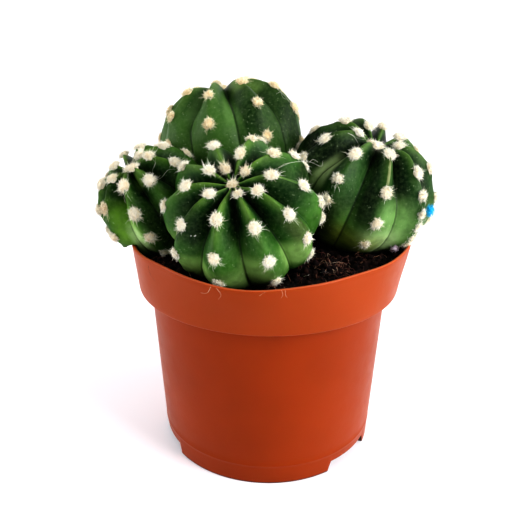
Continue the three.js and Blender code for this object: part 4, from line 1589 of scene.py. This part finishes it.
def make_world():
    """A studio with a white backdrop and side walls, and a darker front half."""
    nodes = Nodes(bpy.data.worlds.new("studio"), "Background", "Generated")
    x, y, z = nodes.add("SeparateXYZ", Vector=nodes.place).outputs
    horizon = nodes.remap(z, *STAGE["horizon_levels"], STAGE["horizon"], 0.0)
    backdrop = nodes.remap(y, *STAGE["backdrop_depths"], STAGE["front"], STAGE["backdrop"])
    walls = nodes.remap(nodes.math("ABSOLUTE", x), *STAGE["wall_sides"], 0.0, STAGE["walls"])
    strength = nodes.math("MAXIMUM", nodes.math("MAXIMUM", horizon, backdrop), walls)
    bpy.context.scene.world = nodes.finish(Color=STAGE["air_color"], Strength=strength)


def make_camera():
    """The camera that fits the photograph."""
    data = bpy.data.cameras.new("camera")
    data.sensor_width = CAMERA["sensor_mm"]
    data.lens = CAMERA["focal_pixels"] * CAMERA["sensor_mm"] / CAMERA["long_side_pixels"]
    data.clip_start, data.clip_end = CAMERA["clip"]
    yaw, pitch, roll = (math.radians(CAMERA[key]) for key in ("yaw", "pitch", "roll"))
    forward = np.array([math.sin(yaw) * math.cos(pitch), math.cos(yaw) * math.cos(pitch), -math.sin(pitch)])
    level = unit(np.cross(forward, [0, 0, 1]))
    upright = np.cross(level, forward)
    right = math.cos(roll) * level + math.sin(roll) * upright
    up = math.cos(roll) * upright - math.sin(roll) * level
    camera = bpy.data.objects.new("camera", data)
    bpy.context.scene.collection.objects.link(camera)
    place = (np.array(CAMERA["place"]) + POT_AXIS) * MM
    rows = np.array([right, up, -forward]).T
    camera.matrix_world = Matrix.Translation(place.tolist()) @ Matrix(rows.tolist()).to_4x4()
    bpy.context.scene.camera = camera


def make_plant():
    """Each stem's flesh and wool, in an order in which a stem is pressed clear of those before it."""
    placed = []
    for name, spec in STEMS.items():
        points, faces, attributes = stem_flesh(name, placed)
        flesh = add_piece(f"{name}_flesh", points, faces, skin_material(name), attributes)
        points, faces, attributes = stem_wool(name)
        wool = add_piece(f"{name}_wool", points, faces, wool_material(name), attributes)
        for piece in (flesh, wool):
            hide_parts(f"stem_{name}")
        placed.append(spec)


def add_small_things():
    """Loose hairs, caught lint and dust, each listed with the solid that it lies on, which is hidden."""
    hair = hair_material()
    things = [(loose_hairs("pot", hair), "pot", "pot_plastic"), (loose_hairs("soil", hair), "soil", "peat")]
    things += [(loose_hairs(name, hair), f"stem_{name}", "cactus_flesh") for name in STEMS]
    things.append((tangle("blue_lint", LINT, fuzz_material("blue_lint")), "stem_right", "cactus_flesh"))
    things.append((tangle("soil_fluff", FLUFF, fuzz_material("pale_fluff")), "soil", "peat"))
    things.append((make_flakes(fuzz_material("white_dust")), "stem_front", "cactus_flesh"))
    for piece, node, slot in things:
        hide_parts(node)


make_camera()
make_floor()
make_world()
for lamp in LAMPS:
    add_lamp(*lamp)
pot = make_pot(plastic_material())
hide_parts("pot")
peat, coir = peat_material(), coir_material()
for piece in (make_soil(peat), make_crumbs(peat), make_soil_fibres(coir)):
    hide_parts("soil")
make_plant()
add_small_things()
bpy.context.scene.view_settings.view_transform = "Standard"
bpy.context.scene.view_settings.look = "High Contrast"
